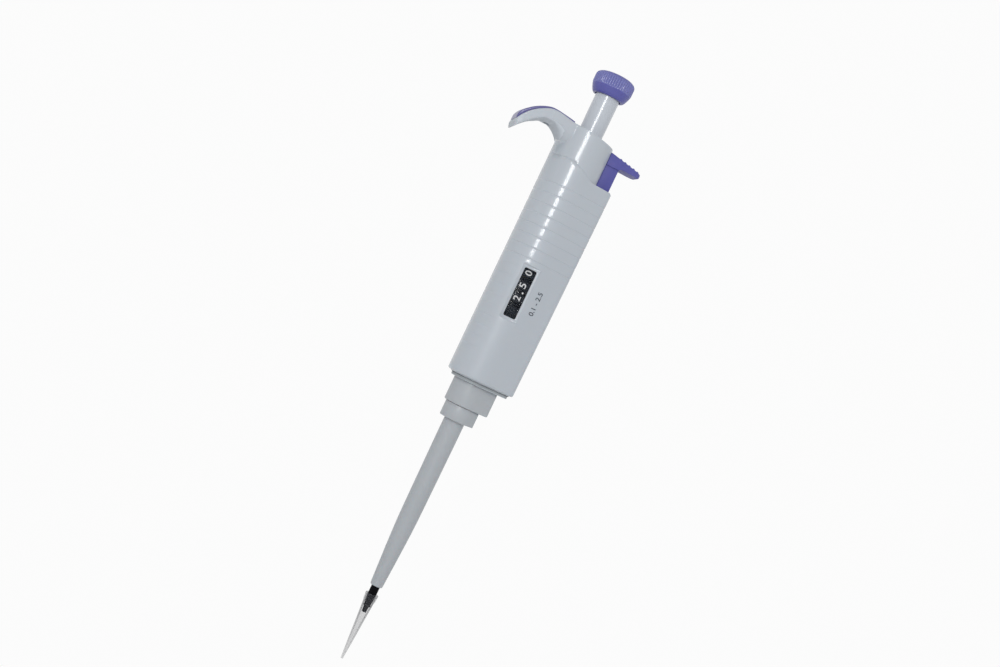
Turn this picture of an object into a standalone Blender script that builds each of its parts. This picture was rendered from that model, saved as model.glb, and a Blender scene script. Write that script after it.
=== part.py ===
# Single-channel adjustable micropipette with its disposable tip.
# Lengths are metres, written as millimetres times MM. Heights are measured up from the tip's open end
# along the plunger axis, and the whole model hangs from one empty that puts the hook seat at the origin.
# -Y is the side with the number window, -X the side with the finger hook.

import math

import bmesh
import bpy
from mathutils import Matrix, Vector

MM = 0.001
GAP = 0.3 * MM
PRESS_CLEARANCE = 0.3 * MM
RUNNING_CLEARANCE = 0.3 * MM

# Travel of the moving parts
PLUNGER_TRAVEL = 14.7 * MM
EJECTOR_TRAVEL = 10.0 * MM
NUT_TRAVEL = 11.52 * MM

# Handle shell: a round barrel whose straight sides run to a flat end
BARREL_RADIUS = 12.9 * MM
HANDLE_WALL = 1.3 * MM
HANDLE_END_REACH = 6.35 * MM
HANDLE_END_LEAN = 1.15 * MM
HANDLE_END_HALF = 8.0 * MM
HANDLE_CORNER = 2.5 * MM
HANDLE_BOTTOM = 137.0 * MM
HANDLE_EDGE = 1.0 * MM
SHOULDER_Z = 237.1 * MM
SHOULDER_CHAMFER = 0.9 * MM
SHOULDER_FLOOR = 2.0 * MM

# Seam between the shell and the hook cap: level on the hook side, then a slope down to the shoulder
SEAM_HIGH_Z = 242.2 * MM
SEAM_BREAK_X = -3.0 * MM
SEAM_FOOT_X = 8.2 * MM
NECK_BORE = 10.5 * MM

# Grip grooves
GROOVE_COUNT = 8
SIDE_GROOVE_COUNT = 9
GROOVE_FIRST_Z = 195.2 * MM
GROOVE_PITCH = 4.95 * MM
GROOVE_HALF = 0.5 * MM
GROOVE_DEPTH = 0.28 * MM
SIDE_GROOVE_DEPTH = 0.2 * MM
SIDE_GROOVE_START_X = -4.0 * MM
SIDE_GROOVE_FULL_X = -9.0 * MM

# Number window
WINDOW_WIDTH = 5.8 * MM
WINDOW_LENGTH = 22.9 * MM
WINDOW_CENTRE_Z = 179.95 * MM
WINDOW_CORNER = 0.6 * MM
WINDOW_THICKNESS = 1.1 * MM
WINDOW_SINK = 0.2 * MM
BEZEL_HALF_WIDTH = 4.1 * MM
BEZEL_LENGTH = 25.6 * MM
WHEEL_WINDOW_CLEARANCE = 0.93 * MM

# Hook cap
CAP_FACE_X = 10.95 * MM
CAP_TOP_Z = 256.3 * MM
CAP_TOP_SLOPE = 0.13
CAP_ROOF = 3.7 * MM
CAP_EDGE = 0.7 * MM
HOOK_SEAT_X = -20.5 * MM
HOOK_SEAT_Z = 253.9 * MM
HOOK_CORNER = 1.6 * MM
HOOK_TOP_CORNER = 0.5 * MM
HOOK_STEPS = 2

# Each station of the hook: top edge x and z, underside x and z, half of the width, all in millimetres
HOOK_STATIONS = (
    (-6.0, 257.0, -6.0, 244.6, 9.8),
    (-10.0, 257.6, -10.6, 245.6, 9.8),
    (-12.6, 258.0, -13.3, 249.6, 9.8),
    (-15.6, 258.5, -15.6, 252.2, 9.8),
    (-19.0, 258.85, -18.6, 253.9, 9.8),
    (-22.0, 258.5, -22.2, 253.9, 9.7),
    (-25.2, 257.1, -24.6, 252.7, 9.4),
    (-28.2, 255.2, -27.1, 251.2, 9.0),
    (-30.7, 253.0, -29.4, 249.1, 8.5),
    (-32.6, 250.6, -31.5, 246.9, 8.0),
    (-33.9, 248.4, -32.9, 245.2, 7.4),
    (-34.3, 247.1, -33.6, 244.8, 6.8),
)

# Crowned inlay that covers the hook from one station to another
INLAY_FIRST = 1
INLAY_LAST = 11
INLAY_SETBACK = 0.8 * MM
INLAY_ROOT_RISE = 0.45 * MM
INLAY_TIP_RISE = 1.9 * MM
INLAY_END_RISE = 0.35 * MM
INLAY_END_TAPER = 0.12
INLAY_SECTION = ((1.0, 0.0), (1.0, 0.25), (0.72, 0.66), (0.36, 0.91), (0.0, 1.0))

# Button, stem and control rod
BUTTON_REST_HEIGHT = 4.4 * MM
BUTTON_FOOT_RADIUS = 7.0 * MM
BUTTON_CONE_HEIGHT = 3.4 * MM
BUTTON_CONE_RADIUS = 8.95 * MM
BUTTON_CONE_BULGE = 0.6
BUTTON_RADIUS = 9.3 * MM
BUTTON_BULGE_HEIGHT = 1.6 * MM
BUTTON_KNURL_HEIGHT = 4.5 * MM
BUTTON_DOME_HEIGHT = 2.4 * MM
BUTTON_FLAT_RADIUS = 5.5 * MM
BUTTON_SOCKET_RADIUS = 6.2 * MM
BUTTON_SOCKET_DEPTH = 3.9 * MM
KNURL_COUNT = 24
KNURL_DEPTH = 0.3 * MM
STEM_TOP_RADIUS = 5.65 * MM
STEM_BOTTOM_RADIUS = 5.45 * MM
ROD_RADIUS = 1.6 * MM
ROD_SOCKET = 6.0 * MM
ROD_GROOVE_DEPTH = 0.4 * MM
CLIP_THICKNESS = 0.6 * MM
CLIP_RADIUS = 3.2 * MM

# Stem guide in the hook cap, with its friction ring
GUIDE_FLANGE = 1.8 * MM
GUIDE_BUSH_RADIUS = 7.6 * MM
GUIDE_BUSH_HEIGHT = 5.6 * MM
FRICTION_RING_WIRE = 0.55 * MM

# Volume counter
WHEEL_PITCH = 6.0 * MM
WHEEL_STACK_OFFSET = 0.65 * MM
WHEEL_RIM = 3.6 * MM
WHEEL_GEAR = 2.0 * MM
COUNTER_SLEEVE_RADIUS = 5.0 * MM
COUNTER_PLATE = 1.8 * MM
COUNTER_END_REACH = 4.1 * MM
COUNTER_CORNER = 1.0 * MM
GEAR_TEETH = 20
PINION_TEETH = 8
TOOTH_ADDENDUM = 0.6 * MM
TOOTH_DEDENDUM = 0.9 * MM
TOOTH_THICKNESS = 0.8 * MM
TOOTH_TIP_THICKNESS = 0.45 * MM
PINION_THICKNESS = 1.4 * MM
CARRY_AXLE_RADIUS = 0.9 * MM

# Volume spindle and nut
SPINDLE_HUB_RADIUS = 4.8 * MM
SPINDLE_COLLAR_RADIUS = 6.5 * MM
SPINDLE_COLLAR = 1.7 * MM
SPINDLE_END_RADIUS = 3.5 * MM
SPINDLE_THREAD_RADIUS = 4.2 * MM
NUT_END_CLEARANCE = 1.0 * MM
NUT_HEIGHT = 6.0 * MM
NUT_RADIUS = 7.0 * MM
NUT_RAIL_OFFSET = 1.6 * MM
NUT_RAIL_RADIUS = 0.9 * MM
NUT_EAR_WALL = 1.2 * MM
NUT_EAR_INSET = 0.4 * MM
CALIBRATION_NUT_RADIUS = 6.0 * MM
CALIBRATION_NUT_HEIGHT = 2.8 * MM

# Base of the handle, spring tube and coupling nut
FLANGE_RADIUS = 10.4 * MM
FLANGE_END_X = 16.2 * MM
FLANGE_END_HALF = 6.2 * MM
FLANGE_DROP = 1.8 * MM
PLUG_HEIGHT = 6.0 * MM
SPRING_TUBE_MARGIN = 3.0 * MM
SPRING_TUBE_RADIUS = 6.6 * MM
SPRING_TUBE_BORE = 5.4 * MM
SPIGOT_RADIUS = 6.1 * MM
COUPLING_NUT_RADIUS = 7.0 * MM
COUPLING_NUT_LIP = 1.5 * MM

# Piston, its head and its springs
PISTON_RADIUS = 0.2575 * MM
PISTON_BOSS = 1.2 * MM
STROKE_END_CLEARANCE = 0.7 * MM
PISTON_HEAD_HEIGHT = 3.0 * MM
PISTON_HEAD_RADIUS = 5.1 * MM
PISTON_SOCKET = 1.6 * MM
MAIN_SPRING_RADIUS = 4.3 * MM
MAIN_SPRING_WIRE = 0.35 * MM
MAIN_SPRING_TURNS = 8.5
SPRING_STEPS = 8
BLOWOUT_SPRING_RADIUS = 2.6 * MM
BLOWOUT_SPRING_WIRE = 0.35 * MM
BLOWOUT_SPRING_TURNS = 5.5
BLOWOUT_SPRING_LENGTH = 10.6 * MM
WASHER_RADIUS = 3.3 * MM
WASHER_THICKNESS = 1.0 * MM

# Shaft that the disposable tip fits on, and the piston's seals
SHAFT_NOZZLE_Z = 22.8 * MM
SHAFT_NOZZLE_RADIUS = 1.0 * MM
SHAFT_BORE = 0.6 * MM
SHAFT_LAND_RADIUS = 1.55 * MM
SHAFT_LAND_TAPER = 0.3 * MM
SHAFT_FLANGE_DROP = 7.0 * MM
SHAFT_FLANGE_THICKNESS = 2.1 * MM
SHAFT_FLANGE_RADIUS = 5.8 * MM
SHAFT_TOP_RADIUS = 3.7 * MM
CHAMBER_RADIUS = 2.7 * MM
CHAMBER_DEPTH = 16.2 * MM
SEAL_HEIGHT = 3.0 * MM
SEAL_LIP_HEIGHT = 1.2 * MM
SEAL_LIP_WALL = 0.7 * MM
SEAL_RING_WIRE = 0.65 * MM
RETAINER_HEIGHT = 2.8 * MM
CONE_RING_Z = 26.0 * MM
CONE_RING_WIRE = 0.35 * MM
CONE_RING_RADIUS = 1.45 * MM

# Ejector: button, bent rod, arm collar and sleeve
EJECTOR_STEM_HALF = 5.0 * MM
EJECTOR_PADDLE_HALF = 6.0 * MM
EJECTOR_STEM_DEPTH = 11.1 * MM
PADDLE_REST_HEIGHT = 1.8 * MM
PADDLE_ROOT_THICKNESS = 4.9 * MM
PADDLE_REACH = 10.35 * MM
PADDLE_END_THICKNESS = 1.7 * MM
PADDLE_TIP_RADIUS = 1.3 * MM
PADDLE_CORNER = 3.0 * MM
RIDGE_COUNT = 5
RIDGE_PITCH = 2.3 * MM
RIDGE_SETBACK = 1.15 * MM
RIDGE_HEIGHT = 0.35 * MM
EJECTOR_ROD_SETBACK = 1.6 * MM
EJECTOR_ROD_LOW_X = 9.9 * MM
EJECTOR_ROD_THICKNESS = 1.4 * MM
EJECTOR_ROD_HALF = 3.0 * MM
EJECTOR_ROD_BEND_HEIGHT = 9.5 * MM
EJECTOR_ROD_BEND_CLEARANCE = 1.5 * MM
EJECTOR_SPRING_OFFSET = 3.1 * MM
EJECTOR_SPRING_RADIUS = 1.7 * MM
EJECTOR_SPRING_WIRE = 0.3 * MM
EJECTOR_SPRING_TURNS = 8.5
ARM_RADIUS = 8.5 * MM
ARM_END_X = 12.0 * MM
ARM_END_HALF = 4.6 * MM
ARM_CORNER = 1.5 * MM
ARM_EDGE = 0.5 * MM
ARM_EDGE_INSET = 0.25 * MM
ARM_HEIGHT = 10.8 * MM
ARM_BORE = 7.4 * MM
ARM_FLOOR = 2.6 * MM
SLEEVE_COLLAR_RADIUS = 7.4 * MM
SLEEVE_COLLAR_END_X = 8.3 * MM
SLEEVE_COLLAR_HALF = 3.4 * MM
SLEEVE_COLLAR_HEIGHT = 6.8 * MM
SLEEVE_LUG_INSET = 0.2 * MM
SLEEVE_LUG_CORNER = 1.0 * MM
SLEEVE_TO_TIP = 4.0 * MM
SLEEVE_WALL = 0.65 * MM

# Outer radius of the ejector sleeve by height, in millimetres
SLEEVE_PROFILE = (
    (36.5, 2.93), (50.0, 3.65), (60.0, 4.12), (72.0, 4.47), (110.0, 4.8),
)

# Disposable tip: outer and inner radius by height, in millimetres
TIP_PROFILE = (
    (0.0, 0.5, 0.2), (10.0, 1.25, 0.82), (20.0, 1.92, 1.45), (25.0, 2.32, 1.95), (27.5, 2.5, 2.12),
)
TIP_RIM_Z = 31.6 * MM
TIP_RIM_RADIUS = 3.0 * MM
TIP_RIM_BORE = 2.4 * MM
TIP_RIB_COUNT = 8
TIP_RIB_HALF = 0.3 * MM

# Sizes worked out from the ones above
HANDLE_END_TOP = BARREL_RADIUS + HANDLE_END_REACH
HANDLE_END_BOTTOM = HANDLE_END_TOP - HANDLE_END_LEAN
WINDOW_FLAT_Y = -math.sqrt(BARREL_RADIUS ** 2 - BEZEL_HALF_WIDTH ** 2)
WINDOW_OUTER_Y = WINDOW_FLAT_Y + WINDOW_SINK
WINDOW_INNER_Y = WINDOW_OUTER_Y + WINDOW_THICKNESS
WHEEL_RADIUS = -WINDOW_INNER_Y - WHEEL_WINDOW_CLEARANCE
CAVITY_RADIUS = BARREL_RADIUS - HANDLE_WALL
STEM_BORE = STEM_TOP_RADIUS + RUNNING_CLEARANCE
ROD_BORE = ROD_RADIUS + RUNNING_CLEARANCE
PISTON_BORE = PISTON_RADIUS + RUNNING_CLEARANCE
WHEEL_TENS_Z = WINDOW_CENTRE_Z + WHEEL_STACK_OFFSET - 1.5 * WHEEL_PITCH
COUNTER_BOTTOM_Z = WHEEL_TENS_Z - WHEEL_RIM / 2 - GAP - COUNTER_PLATE
HUNDREDTHS_Z = WHEEL_TENS_Z + 3 * WHEEL_PITCH
COUNTER_TOP_Z = HUNDREDTHS_Z + WHEEL_RIM / 2 + 2 * GAP
CARRY_AXLE_X = WHEEL_RADIUS + RUNNING_CLEARANCE + CARRY_AXLE_RADIUS
GEAR_RADIUS = CARRY_AXLE_X * GEAR_TEETH / (GEAR_TEETH + PINION_TEETH)
PINION_RADIUS = CARRY_AXLE_X - GEAR_RADIUS
COUNTER_END_X = CARRY_AXLE_X + COUNTER_END_REACH
EJECTOR_STEM_X = CAP_FACE_X + GAP
EJECTOR_FACE_X = HANDLE_END_TOP - HANDLE_WALL - RUNNING_CLEARANCE
EJECTOR_ROD_X = EJECTOR_FACE_X - EJECTOR_ROD_SETBACK
EJECTOR_SPRING_X = EJECTOR_ROD_X - EJECTOR_SPRING_OFFSET
PADDLE_END_X = EJECTOR_FACE_X + PADDLE_REACH
RIDGE_FIRST_X = EJECTOR_FACE_X - RIDGE_SETBACK
SPINDLE_COLLAR_LOW = COUNTER_TOP_Z + COUNTER_PLATE + RUNNING_CLEARANCE
SPINDLE_COLLAR_HIGH = SPINDLE_COLLAR_LOW + SPINDLE_COLLAR
NUT_BOTTOM = SPINDLE_COLLAR_HIGH + NUT_TRAVEL + NUT_END_CLEARANCE
NUT_RAIL_X = -NUT_RADIUS - NUT_RAIL_OFFSET
SPINDLE_TOP = NUT_BOTTOM + NUT_HEIGHT + NUT_END_CLEARANCE + CALIBRATION_NUT_HEIGHT
STEM_BOTTOM = SPINDLE_TOP + PLUNGER_TRAVEL + STROKE_END_CLEARANCE
BUTTON_BOTTOM = CAP_TOP_Z + PLUNGER_TRAVEL + BUTTON_REST_HEIGHT
BUTTON_CONE_TOP = BUTTON_BOTTOM + BUTTON_CONE_HEIGHT
BUTTON_KNURL_TOP = BUTTON_CONE_TOP + BUTTON_KNURL_HEIGHT
BUTTON_TOP = BUTTON_KNURL_TOP + BUTTON_DOME_HEIGHT
FLANGE_BOTTOM = HANDLE_BOTTOM - FLANGE_DROP
PLUG_TOP = HANDLE_BOTTOM + PLUG_HEIGHT
SHAFT_FLANGE_TOP = FLANGE_BOTTOM - SHAFT_FLANGE_DROP
SHAFT_FLANGE_BOTTOM = SHAFT_FLANGE_TOP - SHAFT_FLANGE_THICKNESS
SPIGOT_BOTTOM = SHAFT_FLANGE_TOP + GAP
COUPLING_NUT_BOTTOM = SHAFT_FLANGE_BOTTOM - GAP - COUPLING_NUT_LIP
CHAMBER_BOTTOM = SHAFT_FLANGE_TOP - CHAMBER_DEPTH
WASHER_BOTTOM = SHAFT_FLANGE_TOP + 2 * GAP + BLOWOUT_SPRING_LENGTH
STROKE_ROOM = PLUNGER_TRAVEL + STROKE_END_CLEARANCE
PISTON_HEAD_BOTTOM = WASHER_BOTTOM + WASHER_THICKNESS + STROKE_ROOM + PISTON_BOSS
PISTON_BOTTOM = SHAFT_NOZZLE_Z + STROKE_ROOM
SPRING_TUBE_TOP = PISTON_HEAD_BOTTOM + PISTON_HEAD_HEIGHT + SPRING_TUBE_MARGIN
PADDLE_UNDER_Z = SHOULDER_Z + EJECTOR_TRAVEL + PADDLE_REST_HEIGHT
PADDLE_TOP_Z = PADDLE_UNDER_Z + PADDLE_ROOT_THICKNESS
PADDLE_END_Z = PADDLE_UNDER_Z + PADDLE_END_THICKNESS
EJECTOR_STEM_BOTTOM = SHOULDER_Z - EJECTOR_STEM_DEPTH
EJECTOR_ROD_BEND_BOTTOM = PLUG_TOP + EJECTOR_TRAVEL + EJECTOR_ROD_BEND_CLEARANCE
EJECTOR_ROD_BEND_TOP = EJECTOR_ROD_BEND_BOTTOM + EJECTOR_ROD_BEND_HEIGHT
ARM_TOP = FLANGE_BOTTOM - GAP
ARM_BOTTOM = ARM_TOP - ARM_HEIGHT
SLEEVE_COLLAR_BOTTOM = ARM_BOTTOM - GAP - SLEEVE_COLLAR_HEIGHT
SLEEVE_BOTTOM = TIP_RIM_Z + SLEEVE_TO_TIP
FRAME_SHIFT = Vector((-HOOK_SEAT_X, 0.0, -HOOK_SEAT_Z))


# Materials

def material(name, colour, roughness, metallic=0.0, transmission=0.0):
    """A Principled material from a base colour in linear values."""
    made = bpy.data.materials.new(name)
    made.use_nodes = True
    shader = made.node_tree.nodes["Principled BSDF"]
    shader.inputs["Base Color"].default_value = (*colour, 1.0)
    shader.inputs["Roughness"].default_value = roughness
    shader.inputs["Metallic"].default_value = metallic
    shader.inputs["Transmission Weight"].default_value = transmission
    made.diffuse_color = (*colour, 1.0)
    return made


def make_materials():
    """The finishes that the object's pieces share."""
    return {
        "housing": material("housing_grey", (0.42, 0.46, 0.51), 0.35),
        "sleeve": material("sleeve_grey", (0.37, 0.40, 0.43), 0.4),
        "stem": material("stem_grey", (0.38, 0.42, 0.48), 0.3),
        "purple": material("button_purple", (0.12, 0.12, 0.36), 0.45),
        "purple_dark": material("inlay_purple", (0.08, 0.08, 0.26), 0.35),
        "black": material("wheel_black", (0.01, 0.01, 0.012), 0.4),
        "cone": material("shaft_black", (0.02, 0.02, 0.022), 0.45),
        "clear": material("window_clear", (0.9, 0.92, 0.94), 0.05, 0.0, 0.9),
        "tip": material("tip_polypropylene", (0.8, 0.82, 0.85), 0.25, 0.0, 0.6),
        "steel": material("bright_steel", (0.62, 0.62, 0.63), 0.25, 1.0),
        "spring": material("spring_steel", (0.45, 0.45, 0.47), 0.3, 1.0),
        "brass": material("spindle_brass", (0.65, 0.48, 0.2), 0.3, 1.0),
        "inner": material("inner_plastic", (0.75, 0.74, 0.7), 0.5),
        "rubber": material("seal_rubber", (0.03, 0.03, 0.03), 0.7),
    }


# Building blocks

def empty(name, parent=None, location=(0.0, 0.0, 0.0)):
    """An empty that carries one group of pieces."""
    made = bpy.data.objects.new(name, None)
    made.empty_display_size = 5 * MM
    made.location = location
    made.parent = parent
    bpy.context.scene.collection.objects.link(made)
    return made


def solid(name, bm, finish, parent, location=(0.0, 0.0, 0.0), smooth_angle=32.0):
    """Turn a bmesh into a named object with its faces pointing out."""
    bmesh.ops.recalc_face_normals(bm, faces=bm.faces)
    mesh = bpy.data.meshes.new(name)
    bm.to_mesh(mesh)
    bm.free()
    mesh.materials.append(finish)
    mesh.shade_smooth()
    mesh.set_sharp_from_angle(angle=math.radians(smooth_angle))
    made = bpy.data.objects.new(name, mesh)
    made.location = location
    made.parent = parent
    bpy.context.scene.collection.objects.link(made)
    return made


def shape(target, tool_bm, operation="DIFFERENCE", location=(0.0, 0.0, 0.0)):
    """Cut, join or trim an object with a hidden tool shape that shares its parent."""
    label = f"{target.name}_tool_{len(target.modifiers)}"
    tool = solid(label, tool_bm, target.data.materials[0], target.parent, location)
    tool.hide_render = True
    tool.display_type = "WIRE"
    step = target.modifiers.new(label, "BOOLEAN")
    step.operation = operation
    step.solver = "EXACT"
    step.object = tool
    return target


def lofted(rings, closed=False):
    """Skin rings that have equal numbers of points, and cap the ends or join the last to the first."""
    bm = bmesh.new()
    loops = [[bm.verts.new(point) for point in ring] for ring in rings]
    pairs = list(zip(loops, loops[1:]))
    if closed:
        pairs.append((loops[-1], loops[0]))
    else:
        bm.faces.new(list(reversed(loops[0])))
        bm.faces.new(loops[-1])
    for low, high in pairs:
        for i in range(len(low)):
            bm.faces.new((low[i - 1], low[i], high[i], high[i - 1]))
    return bm


def turned(profile, segments=32):
    """Spin a closed profile of (radius, height) points about the plunger axis."""
    bm = bmesh.new()
    verts = [bm.verts.new((radius, 0.0, height)) for radius, height in profile]
    edges = [bm.edges.new((verts[i - 1], verts[i])) for i in range(len(verts))]
    on_axis = [edge for edge in edges if all(vert.co.x < 1e-9 for vert in edge.verts)]
    for edge in on_axis:
        bm.edges.remove(edge)
    geometry = bm.verts[:] + bm.edges[:]
    bmesh.ops.spin(bm, geom=geometry, cent=(0, 0, 0), axis=(0, 0, 1), angle=math.tau, steps=segments)
    bmesh.ops.remove_doubles(bm, verts=bm.verts, dist=1e-7)
    return bm


def ring(outline, height):
    """Lift a flat outline to one height."""
    return [(x, y, height) for x, y in outline]


def prism(outline, low, high):
    """A straight block from a flat outline."""
    return lofted([ring(outline, low), ring(outline, high)])


def side_prism(outline, half):
    """A block from an outline in the XZ plane that runs to both sides of the middle."""
    return lofted([[(x, side, z) for x, z in outline] for side in (-half, half)])


def box(x_range, y_range, z_range):
    """A plain block between two values on each axis."""
    (x0, x1), (y0, y1) = x_range, y_range
    return prism([(x0, y0), (x1, y0), (x1, y1), (x0, y1)], *z_range)


def circle(radius, count, centre=(0.0, 0.0)):
    """Points around a circle."""
    cx, cy = centre
    turns = [math.tau * i / count for i in range(count)]
    return [(cx + radius * math.cos(t), cy + radius * math.sin(t)) for t in turns]


def arc(centre, radius, start, end, steps):
    """Points along an arc, ends included."""
    cx, cy = centre
    angles = [start + (end - start) * i / steps for i in range(steps + 1)]
    return [(cx + radius * math.cos(a), cy + radius * math.sin(a)) for a in angles]


def rounded_box(half_x, half_y, corner, steps=4):
    """A rectangle with round corners about the middle."""
    points = []
    for quarter in range(4):
        turn = quarter * math.pi / 2
        sign_x = 1 if quarter in (0, 3) else -1
        sign_y = 1 if quarter in (0, 1) else -1
        centre = (sign_x * (half_x - corner), sign_y * (half_y - corner))
        points += arc(centre, corner, turn, turn + math.pi / 2, steps)
    return points


def teardrop(radius, end, end_half, corner, inset=0.0, barrel_steps=14, corner_steps=2):
    """A round barrel whose straight sides run tangent to the corners of a flat end at +X.

    inset is a depth, or a function that gives the depth from a point's x.
    """
    depth_at = inset if callable(inset) else lambda x: inset
    corner_x = end - corner
    corner_y = end_half - corner
    span = math.hypot(corner_x, corner_y)
    normal = math.atan2(corner_y, corner_x) + math.acos((radius - corner) / span)
    points = []

    def add(centre_x, centre_y, base, angle):
        depth = depth_at(centre_x + base * math.cos(angle))
        reach = base - depth
        points.append((centre_x + reach * math.cos(angle), centre_y + reach * math.sin(angle)))

    for i in range(corner_steps + 1):
        add(corner_x, corner_y, corner, normal * i / corner_steps)
    for i in range(barrel_steps + 1):
        add(0.0, 0.0, radius, normal + (math.tau - 2 * normal) * i / barrel_steps)
    for i in range(corner_steps + 1):
        add(corner_x, -corner_y, corner, math.tau - normal + normal * i / corner_steps)
    return points


def clipped_circle(radius, face_x, count=24):
    """A circle cut off by a flat at +X."""
    start = math.acos(face_x / radius)
    return arc((0.0, 0.0), radius, start, math.tau - start, count)


def smooth_path(points, steps):
    """Catmull-Rom points through a list of tuples, with the given points kept."""
    path = []
    last = len(points) - 1
    for i in range(last):
        before, start = points[max(i - 1, 0)], points[i]
        end, after = points[i + 1], points[min(i + 2, last)]
        for step in range(steps):
            t = step / steps
            point = []
            for a, b, c, d in zip(before, start, end, after):
                curve = (2 * a - 5 * b + 4 * c - d) * t ** 2 + (3 * b - a - 3 * c + d) * t ** 3
                point.append(0.5 * (2 * b + (c - a) * t + curve))
            path.append(tuple(point))
    path.append(points[-1])
    return path


def spring(name, radius, wire, low, high, turns, finish, parent, centre_x=0.0):
    """A compression spring with a closed coil at each end, as a beveled curve."""
    curve = bpy.data.curves.new(name, "CURVE")
    curve.dimensions = "3D"
    curve.bevel_depth = wire
    curve.bevel_resolution = 0
    curve.use_fill_caps = True
    start = low + wire
    rise = high - low - 2 * wire
    closed_rise = 2.3 * wire
    steps = int(turns * SPRING_STEPS)
    spline = curve.splines.new("POLY")
    spline.points.add(steps)
    for i in range(steps + 1):
        turn = turns * i / steps
        if turn < 1.0:
            height = closed_rise * turn
        elif turn > turns - 1.0:
            height = rise - closed_rise * (turns - turn)
        else:
            height = closed_rise + (rise - 2 * closed_rise) * (turn - 1.0) / (turns - 2.0)
        angle = math.tau * turn
        spline.points[i].co = (radius * math.cos(angle), radius * math.sin(angle), start + height, 1.0)
    curve.materials.append(finish)
    made = bpy.data.objects.new(name, curve)
    made.location = (centre_x, 0.0, 0.0)
    made.parent = parent
    bpy.context.scene.collection.objects.link(made)
    return made


def gear_outline(teeth, pitch_radius, first_tooth):
    """Straight-sided teeth, with the first one centred on an angle."""
    outer = pitch_radius + TOOTH_ADDENDUM
    root = pitch_radius - TOOTH_DEDENDUM
    half_root = (TOOTH_THICKNESS + (TOOTH_THICKNESS - TOOTH_TIP_THICKNESS)) / 2 / root
    half_tip = TOOTH_TIP_THICKNESS / 2 / outer
    points = []
    for i in range(teeth):
        middle = first_tooth + math.tau * i / teeth
        for radius, angle in (
            (root, middle - half_root), (outer, middle - half_tip), (outer, middle + half_tip),
            (root, middle + half_root),
        ):
            points.append((radius * math.cos(angle), radius * math.sin(angle)))
    return points


def handle_end_at(height):
    """The handle's flat end leans in a little towards the bottom."""
    share = (height - HANDLE_BOTTOM) / (SHOULDER_Z - HANDLE_BOTTOM)
    return HANDLE_END_BOTTOM + (HANDLE_END_TOP - HANDLE_END_BOTTOM) * min(share, 1.0)


def handle_outline(height, inset=0.0):
    """The handle's outer section at one height, moved inwards by a depth."""
    return teardrop(BARREL_RADIUS, handle_end_at(height), HANDLE_END_HALF, HANDLE_CORNER, inset)


def side_groove_depth(x):
    """Grooves below the window fade out away from the hook side."""
    share = (SIDE_GROOVE_START_X - x) / (SIDE_GROOVE_START_X - SIDE_GROOVE_FULL_X)
    return SIDE_GROOVE_DEPTH * min(max(share, 0.0), 1.0)


# Handle

def make_handle_body(finish, parent):
    """Ribbed shell with the number window, the ejector's slot and a hollow inside."""
    levels = [(HANDLE_BOTTOM, HANDLE_EDGE), (HANDLE_BOTTOM + 0.3 * HANDLE_EDGE, 0.3 * HANDLE_EDGE)]
    levels.append((HANDLE_BOTTOM + HANDLE_EDGE, 0.0))
    for n in range(-SIDE_GROOVE_COUNT, GROOVE_COUNT):
        middle = GROOVE_FIRST_Z + n * GROOVE_PITCH
        depth = side_groove_depth if n < 0 else GROOVE_DEPTH
        levels += [(middle - GROOVE_HALF, 0.0), (middle, depth), (middle + GROOVE_HALF, 0.0)]
    levels.append((SEAM_HIGH_Z + 5 * MM, 0.0))
    rings = [ring(handle_outline(z, inset), z) for z, inset in levels]
    shell = solid("handle_body", lofted(rings), finish, parent)

    top = SEAM_HIGH_Z + 10 * MM
    chamfer_x = HANDLE_END_TOP - 1.6 * SHOULDER_CHAMFER
    far = HANDLE_END_TOP + 5 * MM
    chamfer_z = SHOULDER_Z - SHOULDER_CHAMFER * (far - chamfer_x) / (HANDLE_END_TOP - chamfer_x)
    above_seam = [
        (-2 * BARREL_RADIUS, SEAM_HIGH_Z), (SEAM_BREAK_X, SEAM_HIGH_Z), (SEAM_FOOT_X, SHOULDER_Z),
        (chamfer_x, SHOULDER_Z), (far, chamfer_z), (far, top), (-2 * BARREL_RADIUS, top),
    ]
    shape(shell, side_prism(above_seam, 2 * BARREL_RADIUS))

    low = HANDLE_BOTTOM - 1 * MM
    ceiling = SHOULDER_Z - SHOULDER_FLOOR
    hollow = [ring(handle_outline(z, HANDLE_WALL), z) for z in (low, ceiling)]
    shape(shell, lofted(hollow))
    shape(shell, prism(clipped_circle(NECK_BORE, CAP_FACE_X - 2 * HANDLE_WALL), ceiling - 1 * MM, top))
    slot_x = (EJECTOR_STEM_X - RUNNING_CLEARANCE, EJECTOR_FACE_X + RUNNING_CLEARANCE)
    slot_y = EJECTOR_STEM_HALF + RUNNING_CLEARANCE
    shape(shell, box(slot_x, (-slot_y, slot_y), (ceiling - 1 * MM, top)))

    bezel = [
        (-2 * BEZEL_HALF_WIDTH, -2 * BARREL_RADIUS), (2 * BEZEL_HALF_WIDTH, -2 * BARREL_RADIUS),
        (2 * BEZEL_HALF_WIDTH, WINDOW_FLAT_Y), (-2 * BEZEL_HALF_WIDTH, WINDOW_FLAT_Y),
    ]
    shape(shell, prism(bezel, WINDOW_CENTRE_Z - BEZEL_LENGTH / 2, WINDOW_CENTRE_Z + BEZEL_LENGTH / 2))
    shape(shell, window_block(0.0, -2 * BARREL_RADIUS, -WHEEL_RADIUS / 2))
    return shell


def window_block(shrink, outer_y, inner_y):
    """The window's outline run through the wall from one y to another."""
    outline = rounded_box(WINDOW_WIDTH / 2 - shrink, WINDOW_LENGTH / 2 - shrink, WINDOW_CORNER)
    return lofted([[(x, y, WINDOW_CENTRE_Z + z) for x, z in outline] for y in (outer_y, inner_y)])


def make_display_window(finish, parent):
    """Clear pane in the window's opening."""
    return solid("display_window", window_block(GAP, WINDOW_OUTER_Y, WINDOW_INNER_Y), finish, parent)


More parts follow.
